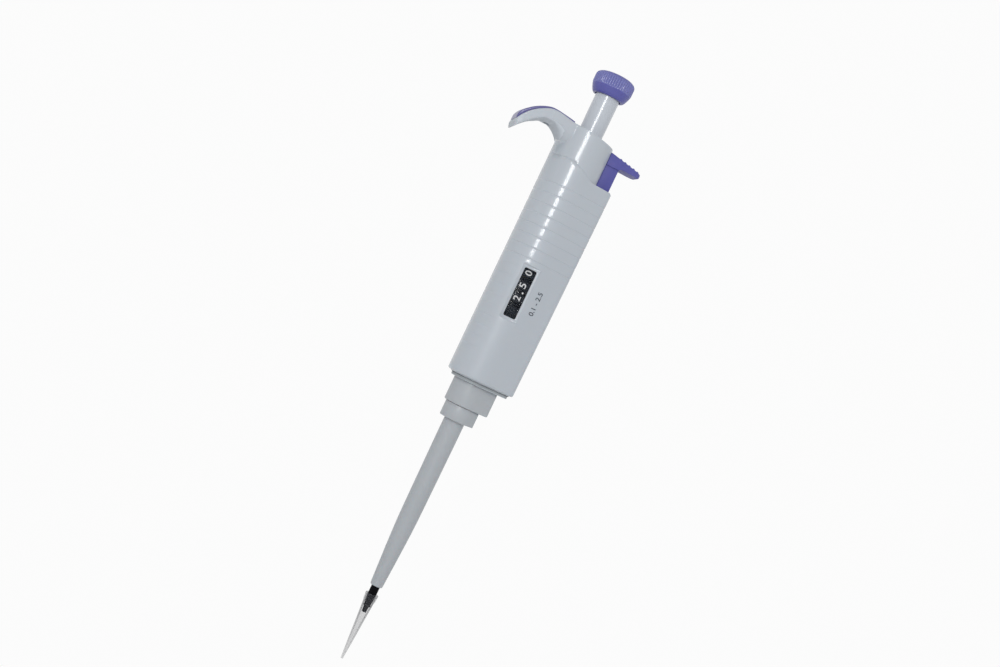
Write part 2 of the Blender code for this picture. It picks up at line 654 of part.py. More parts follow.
def hook_section(top, under, half):
    """A section across the hook: rounded below, nearly square where the inlay lies."""
    up = (Vector(top) - Vector(under)).normalized()
    height = (Vector(top) - Vector(under)).length
    section = []
    for side in (1, -1):
        corners = []
        for i in range(4):
            angle = -math.pi / 2 + math.pi / 2 * i / 3
            corners.append((half - HOOK_CORNER + HOOK_CORNER * math.cos(angle),
                            HOOK_CORNER + HOOK_CORNER * math.sin(angle)))
        corners += [(half, height - HOOK_TOP_CORNER), (half - HOOK_TOP_CORNER, height)]
        if side < 0:
            corners.reverse()
        section += [(side * across, along) for across, along in corners]
    return [(under[0] + up.x * along, across, under[1] + up.y * along) for across, along in section]


def make_hook_cap(finish, parent):
    """Top of the handle: the neck round the stem and the finger hook."""
    bottom = SHOULDER_Z - 5 * MM
    top = CAP_TOP_Z + 10 * MM
    outline = clipped_circle(BARREL_RADIUS, CAP_FACE_X)
    cap = solid("hook_cap", prism(outline, bottom, top), finish, parent)

    far = 2 * BARREL_RADIUS
    seam = [
        (-far, SEAM_HIGH_Z + GAP), (SEAM_BREAK_X, SEAM_HIGH_Z + GAP), (SEAM_FOOT_X, SHOULDER_Z + GAP),
        (far, SHOULDER_Z + GAP), (far, bottom - 1 * MM), (-far, bottom - 1 * MM),
    ]
    shape(cap, side_prism(seam, far))
    roof_line = [
        (-far, CAP_TOP_Z + CAP_TOP_SLOPE * far),
        (CAP_FACE_X - CAP_EDGE, CAP_TOP_Z - CAP_TOP_SLOPE * (CAP_FACE_X - CAP_EDGE)),
        (CAP_FACE_X + CAP_EDGE, CAP_TOP_Z - CAP_TOP_SLOPE * CAP_FACE_X - 3 * CAP_EDGE),
        (far, CAP_TOP_Z - far), (far, top + far), (-far, top + far),
    ]
    shape(cap, side_prism(roof_line, far))

    sections = []
    for top_x, top_z, under_x, under_z, half in smooth_path(HOOK_STATIONS, HOOK_STEPS):
        under = (under_x * MM, min(under_z * MM, HOOK_SEAT_Z))
        sections.append(hook_section((top_x * MM, top_z * MM), under, half * MM))
    shape(cap, lofted(sections), "UNION")

    ceiling = CAP_TOP_Z - CAP_ROOF
    neck = clipped_circle(NECK_BORE, CAP_FACE_X - 2 * HANDLE_WALL)
    shape(cap, prism(neck, bottom - 2 * MM, ceiling))
    shape(cap, prism(circle(STEM_BORE, 28), ceiling - 1 * MM, top))
    return cap


def make_hook_inlay(finish, parent):
    """Crowned strip along the top of the hook that thickens towards the hook's tip."""
    covered = HOOK_STATIONS[INLAY_FIRST:INLAY_LAST]
    path = smooth_path(covered, HOOK_STEPS)
    outline = list(INLAY_SECTION)
    outline += [(-across, up) for across, up in reversed(INLAY_SECTION[:-1])]
    sections = []
    for i, (top_x, top_z, _, _, half) in enumerate(path):
        top = Vector((top_x, top_z)) * MM
        before = Vector(path[max(i - 1, 0)][:2])
        after = Vector(path[min(i + 1, len(path) - 1)][:2])
        along = (after - before).normalized()
        out = Vector((along.y, -along.x))
        share = i / (len(path) - 1)
        full = INLAY_ROOT_RISE + (INLAY_TIP_RISE - INLAY_ROOT_RISE) * share ** 2
        rise = INLAY_END_RISE + (full - INLAY_END_RISE) * min((1.0 - share) / INLAY_END_TAPER, 1.0)
        width = half * MM - INLAY_SETBACK
        section = []
        for across, up in outline:
            point = top + out * (GAP + rise * up)
            section.append((point.x, width * across, point.y))
        sections.append(section)
    return solid("hook_inlay", lofted(sections), finish, parent)


def make_stem_guide(finish, parent):
    """Flanged bush in the neck that the stem slides through."""
    low = SEAM_HIGH_Z + 2 * GAP
    flange_top = low + GUIDE_FLANGE
    top = flange_top + GUIDE_BUSH_HEIGHT
    face = CAP_FACE_X - 2 * HANDLE_WALL - GAP
    outer = clipped_circle(NECK_BORE - GAP, face)
    guide = solid("stem_guide", prism(outer, low, flange_top), finish, parent)
    shape(guide, prism(circle(GUIDE_BUSH_RADIUS, 24), low + GUIDE_FLANGE / 2, top), "UNION")
    shape(guide, prism(circle(STEM_BORE, 24), low - 1 * MM, top + 1 * MM))
    rail = circle(NUT_RAIL_RADIUS + PRESS_CLEARANCE, 12, (NUT_RAIL_X, 0.0))
    shape(guide, prism(rail, low - 1 * MM, low + GUIDE_FLANGE / 2))
    return guide


def make_friction_ring(finish, parent):
    """Rubber ring on the guide's top that holds the set volume."""
    middle = SEAM_HIGH_Z + 2 * GAP + GUIDE_FLANGE + GUIDE_BUSH_HEIGHT + GAP + FRICTION_RING_WIRE
    radius = STEM_BORE + FRICTION_RING_WIRE
    profile = [(radius + r, middle + z) for r, z in circle(FRICTION_RING_WIRE, 6)]
    return solid("friction_ring", turned(profile, 18), finish, parent)


def make_handle_base(finish, parent):
    """Plug and flange that close the handle, with the spring tube above and the threaded spigot below."""
    plug = handle_outline(HANDLE_BOTTOM, HANDLE_WALL + GAP)
    plug_low = HANDLE_BOTTOM - GAP
    base = solid("handle_base", prism(plug, plug_low, PLUG_TOP), finish, parent)
    flange = teardrop(FLANGE_RADIUS, FLANGE_END_X, FLANGE_END_HALF, HANDLE_CORNER)
    shape(base, prism(flange, FLANGE_BOTTOM, plug_low + 1 * MM), "UNION")
    shape(base, prism(circle(SPRING_TUBE_RADIUS, 24), PLUG_TOP - 1 * MM, SPRING_TUBE_TOP), "UNION")
    shape(base, prism(circle(SPIGOT_RADIUS, 24), SPIGOT_BOTTOM, FLANGE_BOTTOM + 1 * MM), "UNION")
    bore = circle(SPRING_TUBE_BORE, 24)
    shape(base, prism(bore, SPIGOT_BOTTOM - 1 * MM, SPRING_TUBE_TOP + 1 * MM))
    slot = EJECTOR_ROD_THICKNESS / 2 + RUNNING_CLEARANCE
    slot_x = (EJECTOR_ROD_LOW_X - slot, EJECTOR_ROD_LOW_X + slot)
    slot_y = EJECTOR_ROD_HALF + RUNNING_CLEARANCE
    shape(base, box(slot_x, (-slot_y, slot_y), (FLANGE_BOTTOM - 1 * MM, PLUG_TOP + 1 * MM)))
    return base


def make_coupling_nut(finish, parent):
    """Nut that clamps the shaft's flange against the handle's spigot."""
    low = COUPLING_NUT_BOTTOM
    high = FLANGE_BOTTOM - GAP
    bore = SPIGOT_RADIUS + PRESS_CLEARANCE
    lip = SHAFT_TOP_RADIUS + PRESS_CLEARANCE
    profile = [
        (lip, low), (COUPLING_NUT_RADIUS, low), (COUPLING_NUT_RADIUS, high), (bore, high),
        (bore, low + COUPLING_NUT_LIP), (lip, low + COUPLING_NUT_LIP),
    ]
    return solid("coupling_nut", turned(profile, 22), finish, parent)


# Volume counter

def counter_outline():
    """Plates of the counter: round in the barrel, with a tab for the carry axle."""
    return teardrop(CAVITY_RADIUS - GAP, COUNTER_END_X, HANDLE_END_HALF - HANDLE_WALL, COUNTER_CORNER)


def make_counter_base(finish, parent):
    """Lower plate with the sleeve that the number wheels turn on."""
    low = COUNTER_BOTTOM_Z
    high = low + COUNTER_PLATE
    base = solid("counter_base", prism(counter_outline(), low, high), finish, parent)
    sleeve_top = HUNDREDTHS_Z - WHEEL_RIM / 2 - 2 * GAP
    shape(base, prism(circle(COUNTER_SLEEVE_RADIUS, 28), low + COUNTER_PLATE / 2, sleeve_top), "UNION")
    shape(base, prism(circle(ROD_BORE, 20), low - 1 * MM, sleeve_top + 1 * MM))
    notch_x = WINDOW_WIDTH / 2
    notch_y = (-2 * BARREL_RADIUS, WINDOW_INNER_Y + GAP)
    shape(base, box((-notch_x, notch_x), notch_y, (low - 1 * MM, high + 1 * MM)))
    axle = circle(CARRY_AXLE_RADIUS + PRESS_CLEARANCE, 12, (CARRY_AXLE_X, 0.0))
    shape(base, prism(axle, low + COUNTER_PLATE / 2, high + 1 * MM))
    return base


def make_counter_top_plate(finish, parent):
    """Upper plate, which also carries the ejector's spring and the nut's rail."""
    low = COUNTER_TOP_Z
    high = low + COUNTER_PLATE
    plate = solid("counter_top_plate", prism(counter_outline(), low, high), finish, parent)
    shape(plate, prism(circle(SPINDLE_HUB_RADIUS + RUNNING_CLEARANCE, 28), low - 1 * MM, high + 1 * MM))
    axle = circle(CARRY_AXLE_RADIUS + PRESS_CLEARANCE, 12, (CARRY_AXLE_X, 0.0))
    shape(plate, prism(axle, low - 1 * MM, low + COUNTER_PLATE / 2))
    rail = circle(NUT_RAIL_RADIUS + PRESS_CLEARANCE, 12, (NUT_RAIL_X, 0.0))
    shape(plate, prism(rail, high - COUNTER_PLATE / 2, high + 1 * MM))
    return plate


def make_carry_axle(finish, parent):
    """Fixed pin that the carry pinions turn on."""
    low = COUNTER_BOTTOM_Z + COUNTER_PLATE / 2 + GAP
    high = COUNTER_TOP_Z + COUNTER_PLATE / 2 - GAP
    bm = prism(circle(CARRY_AXLE_RADIUS, 12), low, high)
    return solid("carry_axle", bm, finish, parent, (CARRY_AXLE_X, 0.0, 0.0))


def wheel_z(order):
    """Middle of a number wheel's rim, counted up from the tens."""
    return WHEEL_TENS_Z + order * WHEEL_PITCH


def make_number_wheel(name, order, bore, finish, parent):
    """Number wheel with a broad rim, and a carry gear on top except on the fastest one."""
    middle = wheel_z(order)
    low = middle - WHEEL_RIM / 2
    high = middle + WHEEL_RIM / 2
    wheel = solid(name, prism(circle(WHEEL_RADIUS, 26), low, high), finish, parent)
    if order < 3:
        outline = gear_outline(GEAR_TEETH, GEAR_RADIUS, math.pi / GEAR_TEETH)
        shape(wheel, prism(outline, middle, high + WHEEL_GEAR), "UNION")
    return shape(wheel, prism(circle(bore, 16), low - 1 * MM, high + 2 * WHEEL_GEAR))


def make_carry_pinion(name, order, finish, parent):
    """Small pinion that meshes with the carry gear of one number wheel."""
    middle = wheel_z(order) + WHEEL_RIM / 2 + WHEEL_GEAR / 2
    outline = gear_outline(PINION_TEETH, PINION_RADIUS, math.pi)
    pinion = solid(name, prism(outline, -PINION_THICKNESS / 2, PINION_THICKNESS / 2), finish, parent)
    parent.location = (CARRY_AXLE_X, 0.0, middle)
    bore = circle(CARRY_AXLE_RADIUS + RUNNING_CLEARANCE, 12)
    return shape(pinion, prism(bore, -PINION_THICKNESS, PINION_THICKNESS))


# Volume spindle

def hexagon_ring(radius, height, per_side=2):
    """A hexagon with extra points along each side, so that it skins to a round ring."""
    corners = circle(radius, 6)
    points = []
    for i in range(6):
        (x0, y0), (x1, y1) = corners[i], corners[(i + 1) % 6]
        for step in range(per_side):
            share = step / per_side
            points.append((x0 + (x1 - x0) * share, y0 + (y1 - y0) * share, height))
    return points


def make_volume_spindle(finish, parent):
    """Threaded spindle with a six-sided bore: the rod slides through it and turns it."""
    low = HUNDREDTHS_Z - WHEEL_RIM / 2 - GAP
    collar_low = SPINDLE_COLLAR_LOW
    collar_high = SPINDLE_COLLAR_HIGH
    thread_top = SPINDLE_TOP - CALIBRATION_NUT_HEIGHT
    rings = [ring(circle(radius, 12), z) for radius, z in (
        (SPINDLE_HUB_RADIUS, low), (SPINDLE_HUB_RADIUS, collar_low),
        (SPINDLE_COLLAR_RADIUS, collar_low), (SPINDLE_COLLAR_RADIUS, collar_high),
        (SPINDLE_THREAD_RADIUS, collar_high), (SPINDLE_THREAD_RADIUS, thread_top),
        (SPINDLE_END_RADIUS, thread_top), (SPINDLE_END_RADIUS, SPINDLE_TOP),
    )]
    bore = ROD_BORE / math.cos(math.pi / 6)
    rings += [hexagon_ring(bore, SPINDLE_TOP), hexagon_ring(bore, low)]
    return solid("volume_spindle", lofted(rings, closed=True), finish, parent)


def make_calibration_nut(finish, parent):
    """Ring on the spindle's top that sets where the stroke starts."""
    low = SPINDLE_TOP - CALIBRATION_NUT_HEIGHT + GAP
    bore = SPINDLE_END_RADIUS + PRESS_CLEARANCE
    per_side = 3
    outer = [hexagon_ring(CALIBRATION_NUT_RADIUS, z, per_side) for z in (low, SPINDLE_TOP)]
    inner = [ring(circle(bore, 6 * per_side), z) for z in (SPINDLE_TOP, low)]
    return solid("calibration_nut", lofted(outer + inner, closed=True), finish, parent)


def make_volume_nut(finish, parent):
    """Travelling nut that sets the stroke, with an ear that rides on the rail."""
    high = NUT_BOTTOM + NUT_HEIGHT
    nut = solid("volume_nut", prism(circle(NUT_RADIUS, 28), NUT_BOTTOM, high), finish, parent)
    ear_half = NUT_RAIL_RADIUS + NUT_EAR_WALL
    ear_z = (NUT_BOTTOM + NUT_EAR_INSET, high - NUT_EAR_INSET)
    shape(nut, box((NUT_RAIL_X - ear_half, 0.0), (-ear_half, ear_half), ear_z), "UNION")
    thread = circle(SPINDLE_THREAD_RADIUS + RUNNING_CLEARANCE, 22)
    rail = circle(NUT_RAIL_RADIUS + RUNNING_CLEARANCE, 12, (NUT_RAIL_X, 0.0))
    for bore in (thread, rail):
        shape(nut, prism(bore, NUT_BOTTOM - 1 * MM, high + 1 * MM))
    return nut


def make_nut_rail(finish, parent):
    """Pin from the counter's top plate to the stem guide that keeps the nut from turning."""
    low = COUNTER_TOP_Z + COUNTER_PLATE / 2 + GAP
    high = SEAM_HIGH_Z + 2 * GAP + GUIDE_FLANGE / 2 - GAP
    bm = prism(circle(NUT_RAIL_RADIUS, 12), low, high)
    return solid("nut_rail", bm, finish, parent, (NUT_RAIL_X, 0.0, 0.0))


# Plunger

def make_push_button(finish, parent):
    """Knurled button with a bulging foot and a socket for the stem underneath."""
    count = 2 * KNURL_COUNT
    cone_rise = BUTTON_CONE_TOP - BUTTON_BOTTOM
    cone_run = BUTTON_CONE_RADIUS - BUTTON_FOOT_RADIUS
    cone = [
        (BUTTON_BOTTOM + cone_rise * share, BUTTON_FOOT_RADIUS + cone_run * share ** BUTTON_CONE_BULGE)
        for share in (0.0, 0.35, 1.0)
    ]
    dome_rise = BUTTON_TOP - BUTTON_KNURL_TOP
    dome_run = BUTTON_RADIUS - BUTTON_FLAT_RADIUS
    dome = [
        (BUTTON_KNURL_TOP + dome_rise * math.sin(a), BUTTON_FLAT_RADIUS + dome_run * math.cos(a))
        for a in (math.radians(degrees) for degrees in (30, 60, 90))
    ]
    band = (
        (BUTTON_CONE_TOP + GAP, BUTTON_CONE_RADIUS + GAP / 2),
        (BUTTON_CONE_TOP + BUTTON_BULGE_HEIGHT, BUTTON_RADIUS),
        (BUTTON_KNURL_TOP, BUTTON_RADIUS),
    )
    rings = [ring(circle(radius, count), z) for z, radius in cone]
    for z, crest in band:
        wavy = []
        for i, (x, y) in enumerate(circle(1.0, count)):
            radius = crest - (KNURL_DEPTH if i % 2 else 0.0)
            wavy.append((radius * x, radius * y, z))
        rings.append(wavy)
    rings += [ring(circle(radius, count), z) for z, radius in dome]
    button = solid("push_button", lofted(rings), finish, parent)
    socket_top = BUTTON_BOTTOM + BUTTON_SOCKET_DEPTH
    shape(button, prism(circle(BUTTON_SOCKET_RADIUS, 30), BUTTON_BOTTOM - 1 * MM, socket_top))
    return button


def make_plunger_stem(finish, parent):
    """Smooth stem from the button down into the handle, bored for the control rod."""
    top = BUTTON_BOTTOM + BUTTON_SOCKET_DEPTH - GAP
    bore_top = STEM_BOTTOM + ROD_SOCKET
    profile = [
        (ROD_BORE, STEM_BOTTOM), (STEM_BOTTOM_RADIUS, STEM_BOTTOM), (STEM_TOP_RADIUS, BUTTON_BOTTOM),
        (STEM_TOP_RADIUS, top), (0.0, top), (0.0, bore_top), (ROD_BORE, bore_top),
    ]
    return solid("plunger_stem", turned(profile, 28), finish, parent)


def make_control_rod(finish, parent):
    """Rod from the stem to the piston's head, six-sided where it drives the spindle."""
    low = PISTON_HEAD_BOTTOM + PISTON_HEAD_HEIGHT + GAP
    high = STEM_BOTTOM + ROD_SOCKET - GAP
    change = HUNDREDTHS_Z - WHEEL_RIM
    clip_low = COUNTER_BOTTOM_Z - GAP - CLIP_THICKNESS
    groove = ROD_RADIUS - ROD_GROOVE_DEPTH
    round_part = [
        (ROD_RADIUS, low), (ROD_RADIUS, clip_low - GAP), (groove, clip_low - GAP),
        (groove, clip_low + CLIP_THICKNESS), (ROD_RADIUS, clip_low + CLIP_THICKNESS),
        (ROD_RADIUS, change),
    ]
    rings = [ring(circle(radius, 12), z) for radius, z in round_part]
    rings += [hexagon_ring(ROD_RADIUS, change + 1 * MM), hexagon_ring(ROD_RADIUS, high)]
    return solid("control_rod", lofted(rings), finish, parent)


def make_retaining_clip(finish, parent):
    """Open clip in the rod's groove, which stops the plunger at the top of its stroke."""
    low = COUNTER_BOTTOM_Z - GAP - CLIP_THICKNESS
    bore = ROD_RADIUS - ROD_GROOVE_DEPTH + GAP
    opening = math.radians(35)
    outer = arc((0.0, 0.0), CLIP_RADIUS, opening, math.tau - opening, 12)
    inner = arc((0.0, 0.0), bore, math.tau - opening, opening, 12)
    bm = prism(outer + inner, low - GAP / 2, low + CLIP_THICKNESS - GAP / 2)
    return solid("retaining_clip", bm, finish, parent)


# Piston and its seals

def make_piston_head(finish, parent):
    """Disc that the rod pushes down and the main spring pushes up."""
    low = PISTON_HEAD_BOTTOM
    high = low + PISTON_HEAD_HEIGHT
    boss = MAIN_SPRING_RADIUS - MAIN_SPRING_WIRE - GAP
    boss_low = low - PISTON_BOSS
    socket = low + PISTON_SOCKET
    profile = [
        (PISTON_BORE, boss_low), (boss, boss_low), (boss, low), (PISTON_HEAD_RADIUS, low),
        (PISTON_HEAD_RADIUS, high), (0.0, high), (0.0, socket), (PISTON_BORE, socket),
    ]
    return solid("piston_head", turned(profile, 18), finish, parent)


def make_piston(finish, parent):
    """Thin wire piston."""
    high = PISTON_HEAD_BOTTOM + PISTON_SOCKET - GAP
    return solid("piston", prism(circle(PISTON_RADIUS, 10), PISTON_BOTTOM, high), finish, parent)


def make_seal_stack(finishes, parent):
    """Lip seal, rubber ring and retainer in the shaft's chamber."""
    outer = CHAMBER_RADIUS - PRESS_CLEARANCE
    seal_low = CHAMBER_BOTTOM + GAP
    seal_high = seal_low + SEAL_HEIGHT
    lip_low = seal_high - SEAL_LIP_HEIGHT
    lip_inner = outer - SEAL_LIP_WALL
    seal = [
        (PISTON_BORE, seal_low), (outer, seal_low), (outer, seal_high), (lip_inner, seal_high),
        (lip_inner, lip_low), (PISTON_BORE, lip_low),
    ]
    solid("piston_seal", turned(seal, 16), finishes["inner"], parent)

    ring_middle = seal_high + GAP + SEAL_RING_WIRE
    ring_radius = outer - SEAL_RING_WIRE
    profile = [(ring_radius + r, ring_middle + z) for r, z in circle(SEAL_RING_WIRE, 6)]
    solid("seal_ring", turned(profile, 16), finishes["rubber"], parent)

    low = ring_middle + SEAL_RING_WIRE + GAP
    high = low + RETAINER_HEIGHT
    retainer = [(PISTON_BORE, low), (outer, low), (outer, high), (PISTON_BORE, high)]
    solid("seal_retainer", turned(retainer, 16), finishes["brass"], parent)


def make_blowout_washer(finish, parent):
    """Washer on the second spring, which the piston's head meets at the end of the stroke."""
    low = WASHER_BOTTOM
    high = low + WASHER_THICKNESS
    profile = [(PISTON_BORE, low), (WASHER_RADIUS, low), (WASHER_RADIUS, high), (PISTON_BORE, high)]
    return solid("blowout_washer", turned(profile, 16), finish, parent)


# Shaft and tip

def sleeve_radius(height):
    """Outer radius of the ejector's sleeve at one height."""
    points = [(z * MM, radius * MM) for z, radius in SLEEVE_PROFILE]
    if height <= points[0][0]:
        return points[0][1]
    for (z0, r0), (z1, r1) in zip(points, points[1:]):
        if height <= z1:
            return r0 + (r1 - r0) * (height - z0) / (z1 - z0)
    return points[-1][1]


def make_tip_cone(finish, parent):
    """Black shaft: nozzle, tip cone, long taper inside the sleeve, and the clamped flange."""
    slack = SLEEVE_WALL + RUNNING_CLEARANCE
    cone_radius = sleeve_radius(SLEEVE_BOTTOM) - slack
    groove_low = CONE_RING_Z - CONE_RING_WIRE - GAP
    groove_high = CONE_RING_Z + CONE_RING_WIRE + GAP
    groove_radius = CONE_RING_RADIUS - CONE_RING_WIRE - GAP
    profile = [
        (SHAFT_BORE, SHAFT_NOZZLE_Z), (SHAFT_NOZZLE_RADIUS, SHAFT_NOZZLE_Z),
        (SHAFT_LAND_RADIUS - SHAFT_LAND_TAPER, groove_low), (groove_radius, groove_low),
        (groove_radius, groove_high), (SHAFT_LAND_RADIUS, groove_high),
        (cone_radius - 0.1 * MM, TIP_RIM_Z - 1.6 * MM), (cone_radius, TIP_RIM_Z),
        (cone_radius, SLEEVE_BOTTOM),
    ]
    heights = [z * MM for z, _ in SLEEVE_PROFILE if z * MM > SLEEVE_BOTTOM]
    profile += [(sleeve_radius(z) - slack, z) for z in heights]
    profile += [
        (SHAFT_TOP_RADIUS, CHAMBER_BOTTOM), (SHAFT_TOP_RADIUS, SHAFT_FLANGE_BOTTOM),
        (SHAFT_FLANGE_RADIUS, SHAFT_FLANGE_BOTTOM), (SHAFT_FLANGE_RADIUS, SHAFT_FLANGE_TOP),
        (CHAMBER_RADIUS, SHAFT_FLANGE_TOP), (CHAMBER_RADIUS, CHAMBER_BOTTOM),
        (SHAFT_BORE, CHAMBER_BOTTOM),
    ]
    return solid("tip_cone", turned(profile, 14), finish, parent)


def make_cone_seal_ring(finish, parent):
    """Small ring in the cone's groove that seals the tip."""
    profile = [(CONE_RING_RADIUS + r, CONE_RING_Z + z) for r, z in circle(CONE_RING_WIRE, 6)]
    return solid("cone_seal_ring", turned(profile, 14), finish, parent)


def make_disposable_tip(finish, parent):
    """Thin conical tip with a ribbed collar."""
    outer = [(radius * MM, z * MM) for z, radius, _ in TIP_PROFILE]
    inner = [(radius * MM, z * MM) for z, _, radius in TIP_PROFILE]
    collar_radius, collar_low = outer[-1]
    rim = [
        (TIP_RIM_RADIUS - 0.3 * MM, TIP_RIM_Z - 1.2 * MM), (TIP_RIM_RADIUS, TIP_RIM_Z - 1.0 * MM),
        (TIP_RIM_RADIUS, TIP_RIM_Z), (TIP_RIM_BORE, TIP_RIM_Z),
    ]
    tip = solid("disposable_tip", turned(outer + rim + inner[::-1], 16), finish, parent)
    rib = [
        (collar_radius - 0.15 * MM, collar_low + 0.3 * MM), (TIP_RIM_RADIUS, collar_low + 1.2 * MM),
        (TIP_RIM_RADIUS, TIP_RIM_Z - 0.8 * MM), (TIP_RIM_RADIUS - 0.42 * MM, TIP_RIM_Z - 0.8 * MM),
    ]
    for i in range(TIP_RIB_COUNT):
        bm = side_prism(rib, TIP_RIB_HALF)
        turn = Matrix.Rotation(math.tau * (i + 0.5) / TIP_RIB_COUNT, 4, "Z")
        bmesh.ops.transform(bm, matrix=turn, verts=bm.verts)
        shape(tip, bm, "UNION")
    return tip


# Ejector

def paddle_outline():
    """Side view of the ejector's button: stem, rounded thumb paddle and its ridges."""
    stem_x = EJECTOR_STEM_X
    slope = (PADDLE_TOP_Z - PADDLE_END_Z) / (PADDLE_END_X - stem_x)
    fillet = 1.0 * MM
    tip_x = PADDLE_END_X - PADDLE_TIP_RADIUS
    tip_z = PADDLE_END_Z - PADDLE_TIP_RADIUS + slope * PADDLE_TIP_RADIUS
    points = [(stem_x, EJECTOR_STEM_BOTTOM), (EJECTOR_FACE_X, EJECTOR_STEM_BOTTOM)]
    points += arc((EJECTOR_FACE_X + fillet, PADDLE_UNDER_Z - fillet), fillet, math.pi, math.pi / 2, 3)
    points += arc((tip_x, tip_z), PADDLE_TIP_RADIUS, -math.pi / 2, math.pi / 2 - math.atan(slope), 5)
    ridges = []
    for i in range(RIDGE_COUNT):
        x = RIDGE_FIRST_X + i * RIDGE_PITCH
        for offset, lift in ((-0.5 * MM, 0.0), (0.0, RIDGE_HEIGHT), (0.5 * MM, 0.0)):
            ridges.append((x + offset, PADDLE_TOP_Z - slope * (x + offset - stem_x) + lift))
    points += reversed([point for point in ridges if point[0] < tip_x])
    points.append((stem_x, PADDLE_TOP_Z))
    return points


def make_ejector_button(finish, parent):
    """Purple stem in the shoulder's slot with the thumb paddle on top."""
    button = solid("ejector_button", side_prism(paddle_outline(), EJECTOR_PADDLE_HALF), finish, parent)
    low = EJECTOR_STEM_BOTTOM - 1 * MM
    waist = PADDLE_UNDER_Z - 0.8 * MM
    for side in (-1, 1):
        y_range = sorted((side * EJECTOR_STEM_HALF, side * 2 * EJECTOR_PADDLE_HALF))
        shape(button, box((EJECTOR_STEM_X - 1 * MM, EJECTOR_FACE_X + 4 * MM), y_range, (low, waist)))
    half_reach = (PADDLE_END_X - EJECTOR_STEM_X) / 2 + PADDLE_CORNER
    middle_x = PADDLE_END_X - half_reach
    plan = [(middle_x + x, y) for x, y in rounded_box(half_reach, EJECTOR_PADDLE_HALF, PADDLE_CORNER, 5)]
    shape(button, prism(plan, low - 1 * MM, PADDLE_TOP_Z + 5 * MM), "INTERSECT")
    return button


def make_ejector_rod(finish, parent):
    """Flat rod, bent inwards below the counter, from the button to the arm."""
    half = EJECTOR_ROD_THICKNESS / 2
    top = EJECTOR_STEM_BOTTOM - GAP
    bottom = ARM_BOTTOM + ARM_FLOOR + GAP
    outline = [
        (EJECTOR_ROD_LOW_X - half, bottom),
        (EJECTOR_ROD_LOW_X + half, bottom),
        (EJECTOR_ROD_LOW_X + half, EJECTOR_ROD_BEND_BOTTOM),
        (EJECTOR_ROD_X + half, EJECTOR_ROD_BEND_TOP - half),
        (EJECTOR_ROD_X + half, top),
        (EJECTOR_ROD_X - half, top),
        (EJECTOR_ROD_X - half, EJECTOR_ROD_BEND_TOP),
        (EJECTOR_ROD_LOW_X - half, EJECTOR_ROD_BEND_BOTTOM + half),
    ]
    return solid("ejector_rod", side_prism(outline, EJECTOR_ROD_HALF), finish, parent)


def make_ejector_arm(finish, parent):
    """Collar round the coupling nut that carries the rod down to the sleeve."""
    full = teardrop(ARM_RADIUS, ARM_END_X, ARM_END_HALF, ARM_CORNER)
    drawn_in = teardrop(ARM_RADIUS, ARM_END_X, ARM_END_HALF, ARM_CORNER, ARM_EDGE_INSET)
    levels = (
        (drawn_in, ARM_BOTTOM), (full, ARM_BOTTOM + ARM_EDGE),
        (full, ARM_TOP - ARM_EDGE), (drawn_in, ARM_TOP),
    )
    arm = solid("ejector_arm", lofted([ring(outline, z) for outline, z in levels]), finish, parent)
    shape(arm, prism(circle(ARM_BORE, 24), ARM_BOTTOM - 1 * MM, ARM_TOP + 1 * MM))
    half = EJECTOR_ROD_THICKNESS / 2 + PRESS_CLEARANCE
    half_y = EJECTOR_ROD_HALF + PRESS_CLEARANCE
    pocket_x = (EJECTOR_ROD_LOW_X - half, EJECTOR_ROD_LOW_X + half)
    shape(arm, box(pocket_x, (-half_y, half_y), (ARM_BOTTOM + ARM_FLOOR, ARM_TOP + 1 * MM)))
    return arm


def make_ejector_sleeve(finish, parent):
    """Long tapered sleeve with the collar that hangs from the arm."""
    outer = [(sleeve_radius(z * MM), z * MM) for z, _ in SLEEVE_PROFILE]
    collar_top = ARM_BOTTOM - GAP
    neck = outer[-1][0]
    profile = [(0.0, SLEEVE_BOTTOM), (outer[0][0] - 0.2 * MM, SLEEVE_BOTTOM)] + outer
    profile += [
        (neck, SLEEVE_COLLAR_BOTTOM), (SLEEVE_COLLAR_RADIUS - 0.3 * MM, SLEEVE_COLLAR_BOTTOM),
        (SLEEVE_COLLAR_RADIUS, SLEEVE_COLLAR_BOTTOM + 0.4 * MM), (SLEEVE_COLLAR_RADIUS, collar_top),
        (0.0, collar_top),
    ]
    sleeve = solid("ejector_sleeve", turned(profile, 18), finish, parent)
    lug_radius = SLEEVE_COLLAR_RADIUS - SLEEVE_LUG_INSET
    lug = teardrop(lug_radius, SLEEVE_COLLAR_END_X, SLEEVE_COLLAR_HALF, SLEEVE_LUG_CORNER)
    lug_z = (SLEEVE_COLLAR_BOTTOM + SLEEVE_LUG_INSET, collar_top - SLEEVE_LUG_INSET)
    shape(sleeve, prism(lug, *lug_z), "UNION")
    inner = [(radius - SLEEVE_WALL, z) for radius, z in outer]
    bore = [(0.0, SLEEVE_BOTTOM - 1 * MM), (inner[0][0], SLEEVE_BOTTOM - 1 * MM)] + inner
    bore += [(inner[-1][0], collar_top + 1 * MM), (0.0, collar_top + 1 * MM)]
    shape(sleeve, turned(bore, 16))
    return sleeve


